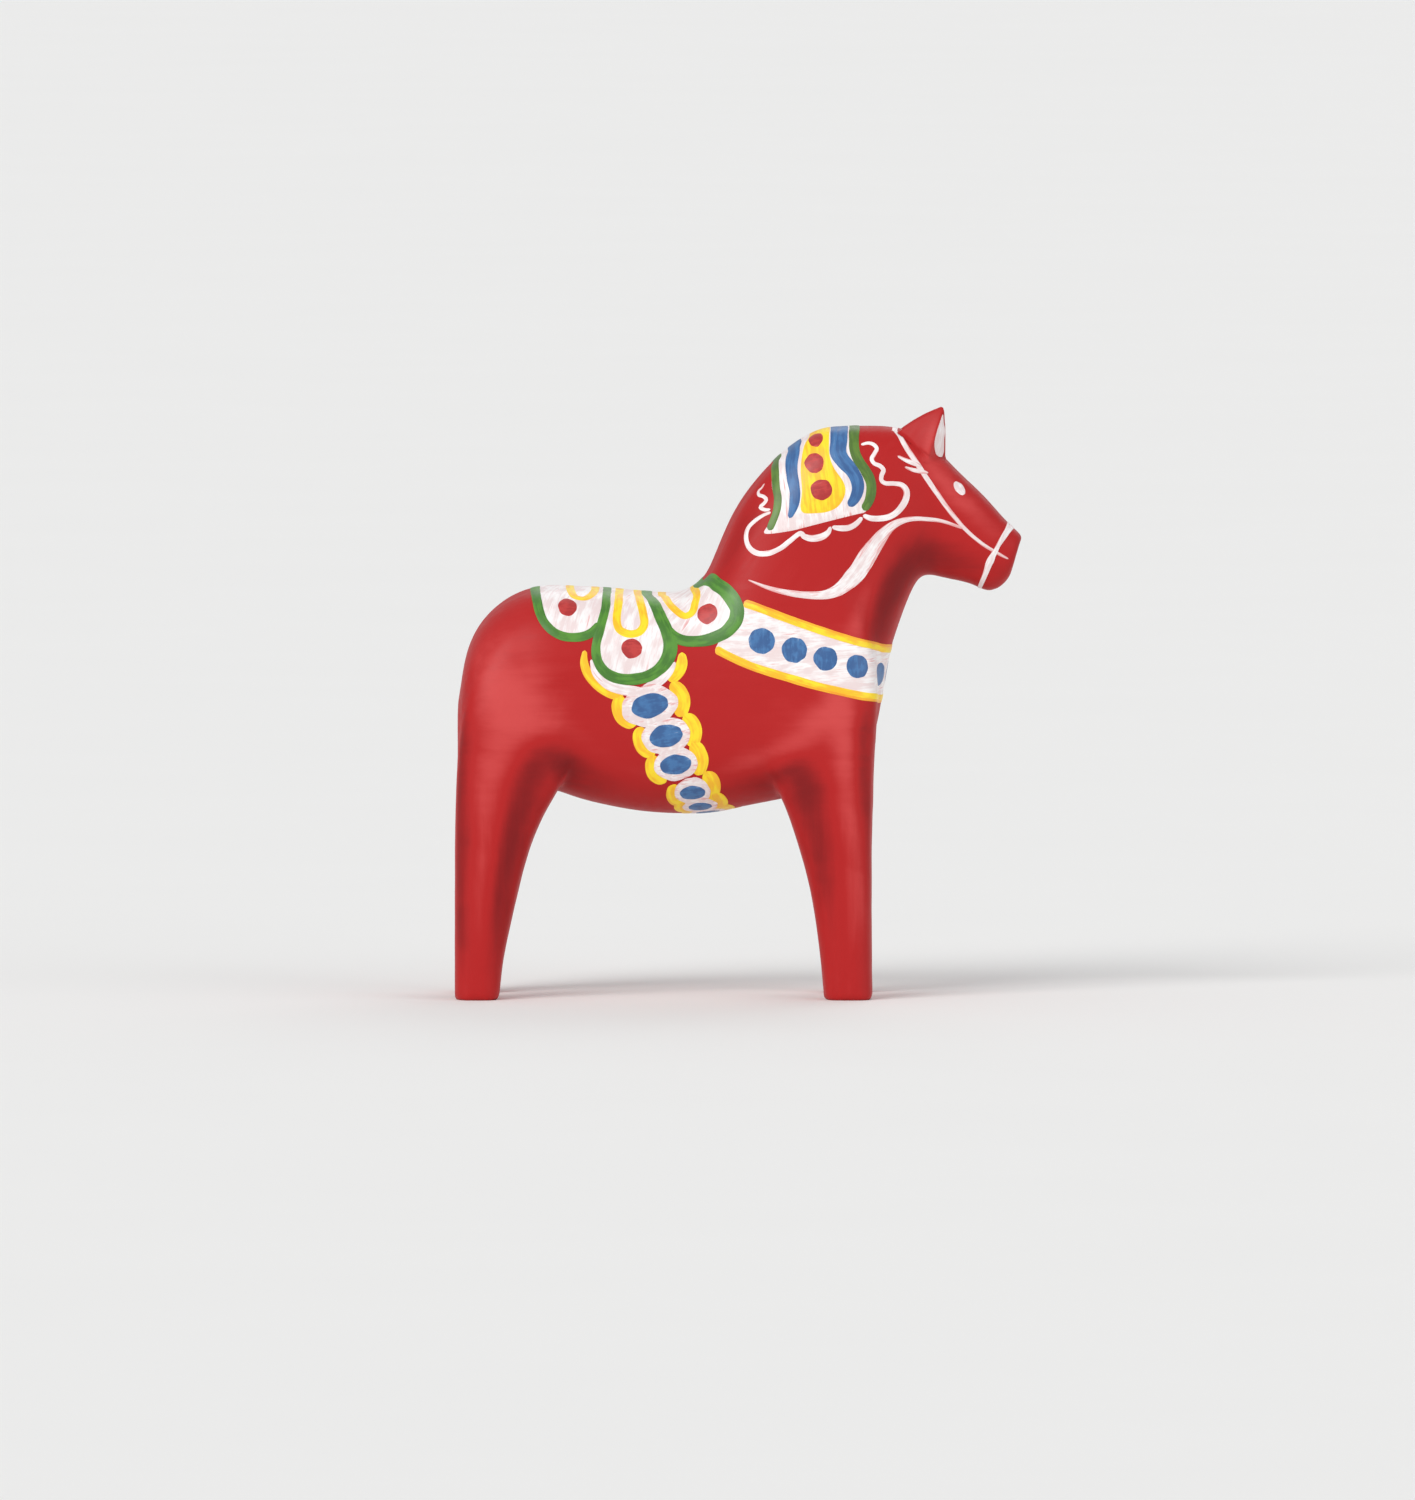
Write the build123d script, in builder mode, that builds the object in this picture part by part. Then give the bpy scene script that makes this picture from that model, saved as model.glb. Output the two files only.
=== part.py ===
"""A painted dala horse, 300 mm tall, glued up from pine staves in three layers.

The horse faces +X and stands on Z = 0, with its origin under the middle of its overall box.
The core layer carries the rump, belly and neck. A side layer on each face of the core carries
the haunch with its hind leg, the flank, and the shoulder with its front leg.
The head is one full-width block, glued across the front of all three layers.
Every layer is edge-glued from vertical-grain staves, and dowels register the layers and edges.
"""

import math
import os
from collections import namedtuple

from build123d import *

# ---- driving dimensions, in millimetres ----
CORE_THICKNESS = 36.0
LAYER_REACH = 60.0
FORM_TOP = 320.0

CORE_JOINTS = (-104.0, -26.0, 76.0)
SIDE_JOINTS = (-66.0, 12.0)
FORM_ENDS = (-160.0, 160.0)

LEG_INNER_FACE = 18.4
LEG_OUTER_FACE = 45.5

LAYER_DOWEL_DIAMETER = 10.0
EDGE_DOWEL_DIAMETER = 8.0
EDGE_DOWEL_LENGTH = 30.0
SIDE_DOWEL_OFFSET = 31.0

EAR_SPREAD = 9.0
EAR_PEG_DIAMETER = 5.0

HALF_CORE = CORE_THICKNESS / 2

# An outline station: a section between an upper and a lower (x, z) point of the side outline.
Station = namedtuple("Station", "upper lower half_width squareness")

# A leg station: a level section at height z, between a rear and a front x.
LegStation = namedtuple("LegStation", "z rear front outer")

# Rump, barrel and chest, from the tail end forwards.
TORSO = (
    Station((-142.7, 150.0), (-142.7, 112.0), 30.0, 2.7),
    Station((-140.6, 163.0), (-140.6, 110.0), 35.0, 2.6),
    Station((-134.5, 183.6), (-134.5, 108.0), 39.5, 2.6),
    Station((-125.0, 196.2), (-125.0, 107.0), 42.0, 2.6),
    Station((-113.0, 204.4), (-113.0, 105.0), 44.5, 2.6),
    Station((-95.0, 208.4), (-95.0, 105.2), 46.2, 2.7),
    Station((-83.0, 207.9), (-83.0, 101.4), 46.3, 2.7),
    Station((-70.0, 207.2), (-70.0, 98.0), 46.2, 2.7),
    Station((-40.0, 204.6), (-40.0, 93.4), 45.4, 2.7),
    Station((-12.0, 203.0), (-12.0, 94.2), 45.4, 2.7),
    Station((18.0, 198.0), (18.0, 99.8), 46.0, 2.7),
    Station((42.0, 186.0), (42.0, 104.0), 45.8, 2.8),
    Station((58.0, 170.0), (58.0, 106.0), 43.0, 2.8),
    Station((67.0, 154.0), (67.0, 107.5), 40.0, 2.9),
)

# The section where the neck meets the head, across the poll and the throat.
POLL = Station((52.0, 289.4), (95.2, 214.6), 24.0, 2.5)

# Neck, from inside the shoulders up to the poll.
NECK = (
    Station((-34.0, 196.0), (58.0, 118.0), 44.0, 2.8),
    Station((-24.5, 206.8), (70.6, 139.0), 42.5, 2.8),
    Station((-14.4, 217.8), (75.7, 168.0), 39.5, 2.8),
    Station((-5.4, 239.2), (80.2, 186.0), 35.0, 2.7),
    Station((7.4, 260.6), (85.6, 200.5), 31.0, 2.6),
    Station((25.4, 278.9), (90.8, 211.0), 27.4, 2.5),
    POLL,
)

# Head, from the poll down to the muzzle.
HEAD = (
    POLL,
    Station((66.0, 290.1), (97.0, 214.5), 22.2, 2.5),
    Station((82.0, 288.9), (99.8, 214.0), 20.0, 2.5),
    Station((97.0, 281.6), (104.0, 213.0), 18.0, 2.5),
    Station((109.5, 269.4), (110.5, 211.7), 17.2, 2.5),
    Station((122.6, 256.6), (118.6, 209.6), 15.9, 2.5),
    Station((134.4, 243.8), (124.6, 206.8), 14.4, 2.5),
    Station((141.5, 237.0), (129.8, 206.6), 12.8, 2.4),
    Station((143.2, 231.4), (138.2, 214.0), 9.4, 2.3),
)

HIND_LEG = (
    LegStation(0, -144.2, -121.8, LEG_OUTER_FACE),
    LegStation(14, -144.2, -120.2, 45.9),
    LegStation(38, -144.2, -115.8, 46.5),
    LegStation(62, -144.2, -110.2, 47.0),
    LegStation(84, -144.0, -103.2, 47.6),
    LegStation(106, -143.5, -92.0, 48.0),
    LegStation(130, -142.2, -78.0, 48.0),
    LegStation(155, -138.0, -71.0, 46.8),
    LegStation(178, -128.0, -72.0, 43.0),
    LegStation(196, -112.0, -86.0, 34.0),
)

FRONT_LEG = (
    LegStation(0, 43.2, 68.2, LEG_OUTER_FACE),
    LegStation(14, 42.2, 67.9, 45.9),
    LegStation(38, 39.4, 67.7, 46.5),
    LegStation(62, 34.8, 67.6, 47.0),
    LegStation(84, 28.6, 67.8, 47.6),
    LegStation(105, 20.4, 68.4, 48.0),
    LegStation(130, 8.0, 69.4, 48.0),
    LegStation(155, 3.0, 70.6, 46.6),
    LegStation(180, 2.0, 68.0, 42.4),
    LegStation(205, 6.0, 60.0, 36.0),
    LegStation(225, 14.0, 48.0, 30.0),
)
LEG_SQUARENESS = 2.9

# Ear: a three-cornered base lying along the poll, drawn up to a point.
EAR_BASE_REAR = (78.0, 288.2)
EAR_BASE_FRONT = (106.2, 269.6)
EAR_BASE_HALF_WIDTH = 7.6
EAR_RIDGE_SHARE = 0.32
EAR_WAIST = (98.8, 290.9)
EAR_WAIST_LENGTH, EAR_WAIST_WIDTH = 0.5, 0.66
EAR_TIP = (104.0, 299.5)
EAR_TIP_SIZE = 0.06
EAR_CORNER_RADIUS = 1.0
EAR_TILT = 1.0
EAR_PEG_FOOT = (88.0, 268.0)
EAR_PEG_HEAD = (99.5, 287.0)

# Where layer dowels cross the core: (x, z, half length).
LAYER_DOWELS = (
    (-124.0, 152.0, 28.0),
    (-84.0, 156.0, 32.0),
    (-46.0, 124.0, 32.0),
    (-46.0, 182.0, 32.0),
    (-8.0, 150.0, 32.0),
    (36.0, 128.0, 32.0),
    (36.0, 176.0, 32.0),
    (24.0, 238.0, 25.0),
)

# Where edge dowels cross a joint between staves: (joint x, z).
CORE_EDGE_DOWELS = (
    (CORE_JOINTS[0], 132.0),
    (CORE_JOINTS[0], 180.0),
    (CORE_JOINTS[1], 118.0),
    (CORE_JOINTS[1], 180.0),
    (CORE_JOINTS[2], 222.0),
    (CORE_JOINTS[2], 262.0),
)
SIDE_EDGE_DOWELS = (
    (SIDE_JOINTS[0], 128.0),
    (SIDE_JOINTS[0], 178.0),
    (SIDE_JOINTS[1], 124.0),
    (SIDE_JOINTS[1], 180.0),
)

SECTION_POINTS = 16


def superellipse(half_length, half_width, squareness):
    """Points of a closed superellipse, its length along X and its width along Y."""
    points = []
    for step in range(SECTION_POINTS):
        angle = 2 * math.pi * step / SECTION_POINTS
        c, s = math.cos(angle), math.sin(angle)
        x = half_length * math.copysign(abs(c) ** (2 / squareness), c)
        y = half_width * math.copysign(abs(s) ** (2 / squareness), s)
        points.append((x, y))
    return points


def outline_plane(upper, lower):
    """The section plane through two (x, z) outline points, with its local X from lower to upper."""
    middle = ((upper[0] + lower[0]) / 2, 0, (upper[1] + lower[1]) / 2)
    rise = Vector(upper[0] - lower[0], 0, upper[1] - lower[1])
    return Plane(origin=middle, x_dir=rise, z_dir=rise.cross(Vector(0, 1, 0)))


def outline_loft(stations):
    """A solid through outline stations, symmetrical about the XZ plane."""
    with BuildPart() as form:
        for station in stations:
            (x1, z1), (x2, z2) = station.upper, station.lower
            half_length = math.hypot(x1 - x2, z1 - z2) / 2
            with BuildSketch(outline_plane(station.upper, station.lower)):
                with BuildLine():
                    Spline(
                        *superellipse(half_length, station.half_width, station.squareness),
                        periodic=True,
                    )
                make_face()
        loft()
    return form.part


def leg_loft(stations, side):
    """A leg with its haunch or shoulder, on the +Y side for side 1 and the -Y side for -1."""
    with BuildPart() as form:
        for station in stations:
            half_length = (station.front - station.rear) / 2
            half_width = (station.outer - LEG_INNER_FACE) / 2
            centre = Vector(
                (station.front + station.rear) / 2,
                side * (station.outer + LEG_INNER_FACE) / 2,
                station.z,
            )
            with BuildSketch(Plane(origin=centre)):
                with BuildLine():
                    Spline(
                        *superellipse(half_length, half_width, LEG_SQUARENESS),
                        periodic=True,
                    )
                make_face()
        loft()
    return form.part


def dowel(start, end, diameter):
    """A round dowel between two points."""
    axis = Vector(end) - Vector(start)
    with BuildPart() as pin:
        with BuildSketch(Plane(origin=start, z_dir=axis)):
            Circle(diameter / 2)
        extrude(amount=axis.length)
    return pin.part


def stave(carved, x_range, y_range, pins):
    """The piece of the carved form between two x joints and two y faces, bored for its dowels."""
    with BuildPart() as piece:
        add(carved)
        with Locations(((x_range[0] + x_range[1]) / 2, (y_range[0] + y_range[1]) / 2, 0)):
            Box(
                x_range[1] - x_range[0],
                y_range[1] - y_range[0],
                FORM_TOP,
                align=(Align.CENTER, Align.CENTER, Align.MIN),
                mode=Mode.INTERSECT,
            )
        add(pins, mode=Mode.SUBTRACT)
    return piece.part


def save(shape, name):
    """Writes one named piece."""
    shape.label = name
    export_step(shape, f"parts/{name}.step")


os.makedirs("parts", exist_ok=True)

# ---- the carved form: the whole outer shape, before it is split into staves ----
with BuildPart() as carved_form:
    add(outline_loft(TORSO))
    add(outline_loft(NECK))
    add(outline_loft(HEAD))
    for side in (1, -1):
        add(leg_loft(HIND_LEG, side))
        add(leg_loft(FRONT_LEG, side))

# ---- dowels ----
with BuildPart() as layer_dowels:
    for x, z, half_length in LAYER_DOWELS:
        add(dowel((x, -half_length, z), (x, half_length, z), LAYER_DOWEL_DIAMETER))

with BuildPart() as edge_dowels:
    places = [(x, 0, z) for x, z in CORE_EDGE_DOWELS]
    for side in (1, -1):
        places += [(x, side * SIDE_DOWEL_OFFSET, z) for x, z in SIDE_EDGE_DOWELS]
    for x, y, z in places:
        reach = EDGE_DOWEL_LENGTH / 2
        add(dowel((x - reach, y, z), (x + reach, y, z), EDGE_DOWEL_DIAMETER))


# ---- ears, coped onto the head and pegged into it ----
def ear_section(centre, along, length_share, width_share, side):
    """A rounded triangle: a sharp rear corner and a front face turned forwards and outwards."""
    half_length = along.length / 2 * length_share
    half_width = EAR_BASE_HALF_WIDTH * width_share
    corners = [
        (-half_length, 0),
        (half_length, -side * half_width),
        (half_length * EAR_RIDGE_SHARE, side * half_width),
    ]
    with BuildSketch(Plane(origin=centre, x_dir=along, z_dir=along.cross(Vector(0, 1, 0)))) as section:
        with BuildLine():
            Polyline(*corners, close=True)
        make_face()
        fillet(section.vertices(), EAR_CORNER_RADIUS * length_share)
    return section.sketch


def ear_blank(side):
    """An ear before it is coped to the head."""
    along = Vector(
        EAR_BASE_FRONT[0] - EAR_BASE_REAR[0], 0, EAR_BASE_FRONT[1] - EAR_BASE_REAR[1]
    )
    base = Vector(
        (EAR_BASE_FRONT[0] + EAR_BASE_REAR[0]) / 2,
        side * EAR_SPREAD,
        (EAR_BASE_FRONT[1] + EAR_BASE_REAR[1]) / 2,
    )
    waist = Vector(EAR_WAIST[0], side * (EAR_SPREAD + EAR_TILT / 2), EAR_WAIST[1])
    tip = Vector(EAR_TIP[0], side * (EAR_SPREAD + EAR_TILT), EAR_TIP[1])
    with BuildPart() as blank:
        add(ear_section(base, along, 1.0, 1.0, side))
        add(ear_section(waist, along, EAR_WAIST_LENGTH, EAR_WAIST_WIDTH, side))
        add(ear_section(tip, along, EAR_TIP_SIZE, EAR_TIP_SIZE, side))
        loft()
    return blank.part


def ear_peg(side):
    """The peg that holds an ear, from inside the head up into the ear."""
    foot = Vector(EAR_PEG_FOOT[0], side * EAR_SPREAD, EAR_PEG_FOOT[1])
    head = Vector(EAR_PEG_HEAD[0], side * EAR_SPREAD, EAR_PEG_HEAD[1])
    return dowel(foot, head, EAR_PEG_DIAMETER)


with BuildPart() as ear_pegs:
    for side in (1, -1):
        add(ear_peg(side))

for side, name in ((1, "left_ear"), (-1, "right_ear")):
    with BuildPart() as ear:
        add(ear_blank(side))
        add(carved_form.part, mode=Mode.SUBTRACT)
        add(ear_pegs.part, mode=Mode.SUBTRACT)
    save(ear.part, name)

# ---- core staves, from the tail forwards ----
core_edges = (FORM_ENDS[0], *CORE_JOINTS, FORM_ENDS[1])
core_names = ("core_rump_stave", "core_belly_stave", "core_neck_stave", "core_head_stave")
core_pins = [layer_dowels.part, edge_dowels.part, ear_pegs.part]
for name, rear, front in zip(core_names, core_edges, core_edges[1:]):
    reach = LAYER_REACH if name == "core_head_stave" else HALF_CORE
    save(stave(carved_form.part, (rear, front), (-reach, reach), core_pins), name)

# ---- side staves: haunch, flank and shoulder on each face of the core ----
side_edges = (FORM_ENDS[0], *SIDE_JOINTS, CORE_JOINTS[-1])
side_names = ("hind_leg_stave", "flank_stave", "front_leg_stave")
side_pins = [layer_dowels.part, edge_dowels.part]
for side, side_name in ((1, "left"), (-1, "right")):
    faces = sorted((side * HALF_CORE, side * LAYER_REACH))
    for name, rear, front in zip(side_names, side_edges, side_edges[1:]):
        save(stave(carved_form.part, (rear, front), faces, side_pins), f"{side_name}_{name}")

save(layer_dowels.part, "layer_dowels")
save(edge_dowels.part, "edge_dowels")
save(ear_pegs.part, "ear_pegs")
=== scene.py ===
"""A painted dala horse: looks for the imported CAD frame. Metres, +X towards the muzzle, +Z up.

The staves of the CAD frame become one carved, painted skin, which is cut back into the same staves.
The ornament is brushed onto that skin: every stroke, dot and patch is a thin raised film of paint.
Ornament is laid out in millimetres, for the horse's right side, and mirrored onto its left.
"""

import math

import bmesh
import bpy
import numpy as np
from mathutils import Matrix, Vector, geometry, noise
from mathutils.bvhtree import BVHTree
from mathutils.interpolate import poly_3d_calc


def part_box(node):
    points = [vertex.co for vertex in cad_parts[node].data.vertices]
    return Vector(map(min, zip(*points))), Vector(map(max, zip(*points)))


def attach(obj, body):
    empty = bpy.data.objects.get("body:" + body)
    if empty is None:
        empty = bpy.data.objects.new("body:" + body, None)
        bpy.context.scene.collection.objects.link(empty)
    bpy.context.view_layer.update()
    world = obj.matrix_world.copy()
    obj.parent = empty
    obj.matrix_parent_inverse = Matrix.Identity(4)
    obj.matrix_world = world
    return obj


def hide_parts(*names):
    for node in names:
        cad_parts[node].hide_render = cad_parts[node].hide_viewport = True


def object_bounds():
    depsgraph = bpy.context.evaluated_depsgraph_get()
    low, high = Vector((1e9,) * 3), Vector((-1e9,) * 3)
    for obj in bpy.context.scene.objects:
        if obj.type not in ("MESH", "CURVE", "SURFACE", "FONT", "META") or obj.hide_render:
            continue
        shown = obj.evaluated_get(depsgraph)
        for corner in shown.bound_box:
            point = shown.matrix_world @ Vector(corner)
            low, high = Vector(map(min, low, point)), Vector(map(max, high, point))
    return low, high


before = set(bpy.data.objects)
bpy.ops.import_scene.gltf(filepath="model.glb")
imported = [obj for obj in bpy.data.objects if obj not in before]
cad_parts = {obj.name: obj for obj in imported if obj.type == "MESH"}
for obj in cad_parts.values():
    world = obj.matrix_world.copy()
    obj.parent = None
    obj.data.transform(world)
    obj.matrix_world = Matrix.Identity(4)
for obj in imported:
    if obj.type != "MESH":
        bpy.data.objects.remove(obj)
cad_low, cad_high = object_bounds()

MM = 0.001
RIGHT, LEFT = -1, 1
BODY = "root"

CORE_PARTS = ("rump", "belly", "neck", "head")
SIDE_PARTS = ("hind_leg", "flank", "front_leg")
STAVES = [f"core_{part}_stave" for part in CORE_PARTS]
STAVES += [f"{side}_{part}_stave" for side in ("right", "left") for part in SIDE_PARTS]
EARS = {RIGHT: "right_ear", LEFT: "left_ear"}

# ---- carving, in millimetres where MM isn't written ----
SKIN_VOXEL = 1.2 * MM
SMOOTH_RATE = 0.5
FILLET_RATE = 0.8
FILLET_NORMALS_EVERY = 10
CORNER_FILLET_PASSES = 4
BODY_FILLET_PASSES = 150
BODY_FILLET_HEIGHT = (114.0, 146.0)  # the body's fillets grow over this rise,
BODY_FILLET_FRONT = (66.0, 84.0)  # and fade out towards the throat
SKIN_SMOOTH_PASSES = 9
FOOT_FLAT = 0.3 * MM
KNIFE_WOBBLE = ((22.0, 0.16), (8.0, 0.05))  # layers of (size, depth)
HEAD_PLUG = (0.0, 0.62)  # the span of an ear peg that fills its hole in the head,
EAR_PLUG = (0.5, 1.0)  # and in the ear, as shares of its length
TOUCHING = 0.05 * MM
EAR_VOXEL = 0.4 * MM
EAR_SMOOTH_PASSES = 12
EAR_SINK = (-0.8, -1.0, -3.4)
EAR_FLARE = 1.5
EAR_BLEND = 2.4

# ---- how the red is brushed, in millimetres ----
LEG_BRUSHING = (82.0, 128.0)  # along the legs below this rise,
NECK_BRUSHING = (205.0, 232.0)  # and along the neck above this one,
NECK_SLOPE = 0.45  # which falls towards the muzzle,
HEAD_BRUSHING = (88.0, 104.0)  # as far forward as the head

# ---- paint films, in millimetres ----
FILM_PITCH = 0.15  # from one level of paint to the next
FILM_CROWN = 0.11  # how far a film rises from its edge to its middle
FILM_START = 0.03  # from the skin to the edge of the lowest film
FILM_ROOT = 0.3  # how deep a film is rooted in the skin
STROKE_STEP = 0.7
STROKE_COLUMN = 2.2
OUTLINE_STEP = 0.8
PATCH_STEP = 1.1
PATCH_ROW = 0.87 * PATCH_STEP
PATCH_CROWN = 2.0  # how far in from its edge a patch reaches its full height,
PATCH_DRY = 2.5  # and its full paint
DOT_TURNS = 40
DOT_RINGS = (0.0, 0.3, 0.55, 0.75, 0.9, 1.0)  # shares of a dot's radius
EDGE_WOBBLE = 0.05  # a share of half a stroke's width
WOBBLE_FREQUENCY = 0.16
EDGE_DRYNESS = 0.25
DOT_DRYNESS = 0.3
DRY_START, DRY_END = 0.35, 0.5  # shares of a stroke's length
SHARP_ANGLE = math.radians(50)
SEED_STEP = 7.31
MARK_SHIFT = 13.0  # sets the streaks of one stroke apart from the next one's

# ---- how the ornament is laid out: as seen from a little above level ----
CAMERA_ELEVATION = math.radians(3.0)
VIEW = Vector((0, math.cos(CAMERA_ELEVATION), -math.sin(CAMERA_ELEVATION)))
# Where lines of sight start, outside the horse, in metres.
VIEW_REACH = 0.3
ABOVE, BELOW, AHEAD = 0.4, -0.1, 0.3

# ---- colours, linear ----
RED = (0.440, 0.011, 0.011)
# The red's painted highlight and painted shade; its random mottle also runs a little towards them.
RED_PAINTED_HIGHLIGHT_AND_MOTTLE = (0.600, 0.060, 0.058)
RED_PAINTED_SHADE_AND_MOTTLE = (0.210, 0.004, 0.005)
WHITE = (0.92, 0.89, 0.88)
WHITE_SHADE = (0.80, 0.66, 0.65)
YELLOW = (0.98, 0.72, 0.012)
YELLOW_SHADE = (0.93, 0.50, 0.010)
GREEN = (0.085, 0.270, 0.022)
GREEN_SHADE = (0.050, 0.180, 0.016)
BLUE = (0.048, 0.165, 0.385)
BLUE_SHADE = (0.030, 0.105, 0.280)
PINE = (0.68, 0.47, 0.26)
PINE_LATE = (0.50, 0.29, 0.13)
AMBER = (0.96, 0.46, 0.010)
AMBER_SHADE = (0.88, 0.34, 0.010)
MANE_GREEN = (0.105, 0.215, 0.024)
MANE_GREEN_SHADE = (0.07, 0.15, 0.018)
DOT_RED = (0.52, 0.034, 0.030)
DOT_RED_SHADE = (0.40, 0.018, 0.018)
STUDIO = (0.86, 0.85, 0.83)
STUDIO_CLOUD = (0.78, 0.77, 0.75)


# ---- Materials ----
def new_material(name):
    """A new material, with its node tree and its shader."""
    material = bpy.data.materials.new(name)
    material.use_nodes = True
    return material, material.node_tree, material.node_tree.nodes["Principled BSDF"]


def node(tree, kind, **settings):
    """Adds a node and sets its own properties."""
    made = tree.nodes.new(kind)
    for key, value in settings.items():
        setattr(made, key, value)
    return made


def linked(tree, source, target):
    """Links an output to an input."""
    tree.links.new(source, target)


def set_input(tree, socket, value):
    """Gives an input its value: an output, a linear colour or a number."""
    if isinstance(value, bpy.types.NodeSocket):
        linked(tree, value, socket)
    elif isinstance(value, tuple):
        socket.default_value = (*value, 1.0)
    else:
        socket.default_value = value


def scaled(tree, vector, scale):
    """A vector multiplied component by component."""
    product = node(tree, "ShaderNodeVectorMath", operation="MULTIPLY")
    linked(tree, vector, product.inputs[0])
    product.inputs[1].default_value = scale
    return product.outputs[0]


def turned(tree, vector, angle):
    """A vector turned about Y."""
    turn = node(tree, "ShaderNodeVectorRotate", rotation_type="Y_AXIS")
    linked(tree, vector, turn.inputs["Vector"])
    turn.inputs["Angle"].default_value = angle
    return turn.outputs[0]


def noise_value(tree, place, frequency, detail=3.0, roughness=0.55, distortion=0.0):
    """Noise at a place, with a frequency along each axis."""
    stretched = scaled(tree, place, frequency)
    made = node(tree, "ShaderNodeTexNoise")
    linked(tree, stretched, made.inputs["Vector"])
    settings = {"Scale": 1.0, "Detail": detail, "Roughness": roughness, "Distortion": distortion}
    for name, number in settings.items():
        made.inputs[name].default_value = number
    return made.outputs["Fac"]


def ramped(tree, value, low, high, out_low=0.0, out_high=1.0):
    """A value taken smoothly from one range to another."""
    made = node(tree, "ShaderNodeMapRange", interpolation_type="SMOOTHSTEP")
    linked(tree, value, made.inputs["Value"])
    for name, number in (("From Min", low), ("From Max", high), ("To Min", out_low), ("To Max", out_high)):
        made.inputs[name].default_value = number
    return made.outputs["Result"]


def blended(tree, factor, first, second):
    """Two colours mixed; each is an output or a linear colour."""
    made = node(tree, "ShaderNodeMix", data_type="RGBA")
    for number, value in ((0, factor), (6, first), (7, second)):
        set_input(tree, made.inputs[number], value)
    return made.outputs[2]


def mixed_values(tree, factor, first, second):
    """Two values mixed by a third."""
    made = node(tree, "ShaderNodeMix", data_type="FLOAT")
    for number, value in ((0, factor), (2, first), (3, second)):
        set_input(tree, made.inputs[number], value)
    return made.outputs[0]


def combined(tree, operation, first, second):
    """A sum, product or the like of two values."""
    made = node(tree, "ShaderNodeMath", operation=operation)
    for socket, value in zip(made.inputs, (first, second)):
        set_input(tree, socket, value)
    return made.outputs[0]


def bumped(tree, shader, height, distance):
    """Gives a shader a bump; the distance is in millimetres."""
    made = node(tree, "ShaderNodeBump")
    made.inputs["Distance"].default_value = distance * MM
    linked(tree, height, made.inputs["Height"])
    linked(tree, made.outputs["Normal"], shader.inputs["Normal"])


def object_millimetres(tree):
    """The place on the object, in millimetres."""
    place = node(tree, "ShaderNodeTexCoord")
    return scaled(tree, place.outputs["Object"], (1000.0, 1000.0, 1000.0))


def attribute(tree, name, output="Fac"):
    """What the mesh stores under a name."""
    made = node(tree, "ShaderNodeAttribute", attribute_name=name)
    return made.outputs[output]


def red_paint():
    """Brushed red oil paint over carved pine, with painted highlights and painted shade, and a faint varnish.
    """
    material, tree, shader = new_material("red_paint")
    place = object_millimetres(tree)
    along_body = noise_value(tree, place, (0.022, 0.24, 0.24), 4.0, 0.6)
    along_leg = noise_value(tree, place, (0.24, 0.24, 0.020), 4.0, 0.6)
    along_neck = noise_value(tree, turned(tree, place, 0.95), (0.022, 0.24, 0.24), 4.0, 0.6)
    streaks = mixed_values(tree, attribute(tree, "leg_share"), along_body, along_leg)
    streaks = mixed_values(tree, attribute(tree, "neck_share"), streaks, along_neck)
    clouds = noise_value(tree, place, (0.030, 0.030, 0.036), 3.0, 0.5, 0.6)
    # The painted highlights and painted shade stored on the mesh, with the paint's random streaks and clouds
    # added.
    painted_light_tone = combined(tree, "ADD", attribute(tree, "painted_light_tone"), ramped(tree, streaks, 0.34, 0.66, -0.06, 0.06))
    painted_light_tone = combined(tree, "ADD", painted_light_tone, ramped(tree, clouds, 0.34, 0.68, -0.08, 0.10))
    # Lighter towards the painted highlights, darker towards the painted shade.
    colour = blended(tree, ramped(tree, painted_light_tone, 0.0, 1.0), RED, RED_PAINTED_HIGHLIGHT_AND_MOTTLE)
    colour = blended(tree, ramped(tree, painted_light_tone, -1.0, 0.0, 1.0, 0.0), colour, RED_PAINTED_SHADE_AND_MOTTLE)
    linked(tree, colour, shader.inputs["Base Color"])
    linked(tree, ramped(tree, streaks, 0.3, 0.7, 0.46, 0.58), shader.inputs["Roughness"])
    shader.inputs["Specular IOR Level"].default_value = 0.22
    shader.inputs["Coat Weight"].default_value = 0.04
    shader.inputs["Coat Roughness"].default_value = 0.3
    grain = noise_value(tree, place, (0.9, 0.9, 0.02), 2.0, 0.5)
    relief = combined(tree, "ADD", streaks, combined(tree, "MULTIPLY", grain, 0.35))
    bumped(tree, shader, relief, 0.11)
    return material


def stroke_paint(name, colour, shade, showing, cover):
    """Brushed ornament paint. Its streaks follow each stroke, and the coat below shows where it is thin."""
    material, tree, shader = new_material(name)
    place = attribute(tree, "stroke", "Vector")
    streaks = noise_value(tree, place, (0.06, 0.62, 1.0), 4.0, 0.62)
    patches = noise_value(tree, place, (0.12, 0.20, 1.0), 2.0, 0.5)
    body = blended(tree, ramped(tree, combined(tree, "ADD", streaks, patches), 0.86, 1.16), shade, colour)
    bare = combined(tree, "ADD", streaks, combined(tree, "MULTIPLY", attribute(tree, "dryness"), 0.36))
    bare = combined(tree, "ADD", bare, combined(tree, "MULTIPLY", patches, 0.25))
    gap = ramped(tree, bare, cover, cover + 0.20, 0.0, 0.85)
    linked(tree, blended(tree, gap, body, showing), shader.inputs["Base Color"])
    linked(tree, ramped(tree, streaks, 0.3, 0.7, 0.38, 0.52), shader.inputs["Roughness"])
    shader.inputs["Coat Weight"].default_value = 0.12
    shader.inputs["Coat Roughness"].default_value = 0.3
    bumped(tree, shader, streaks, 0.10)
    return material


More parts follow.
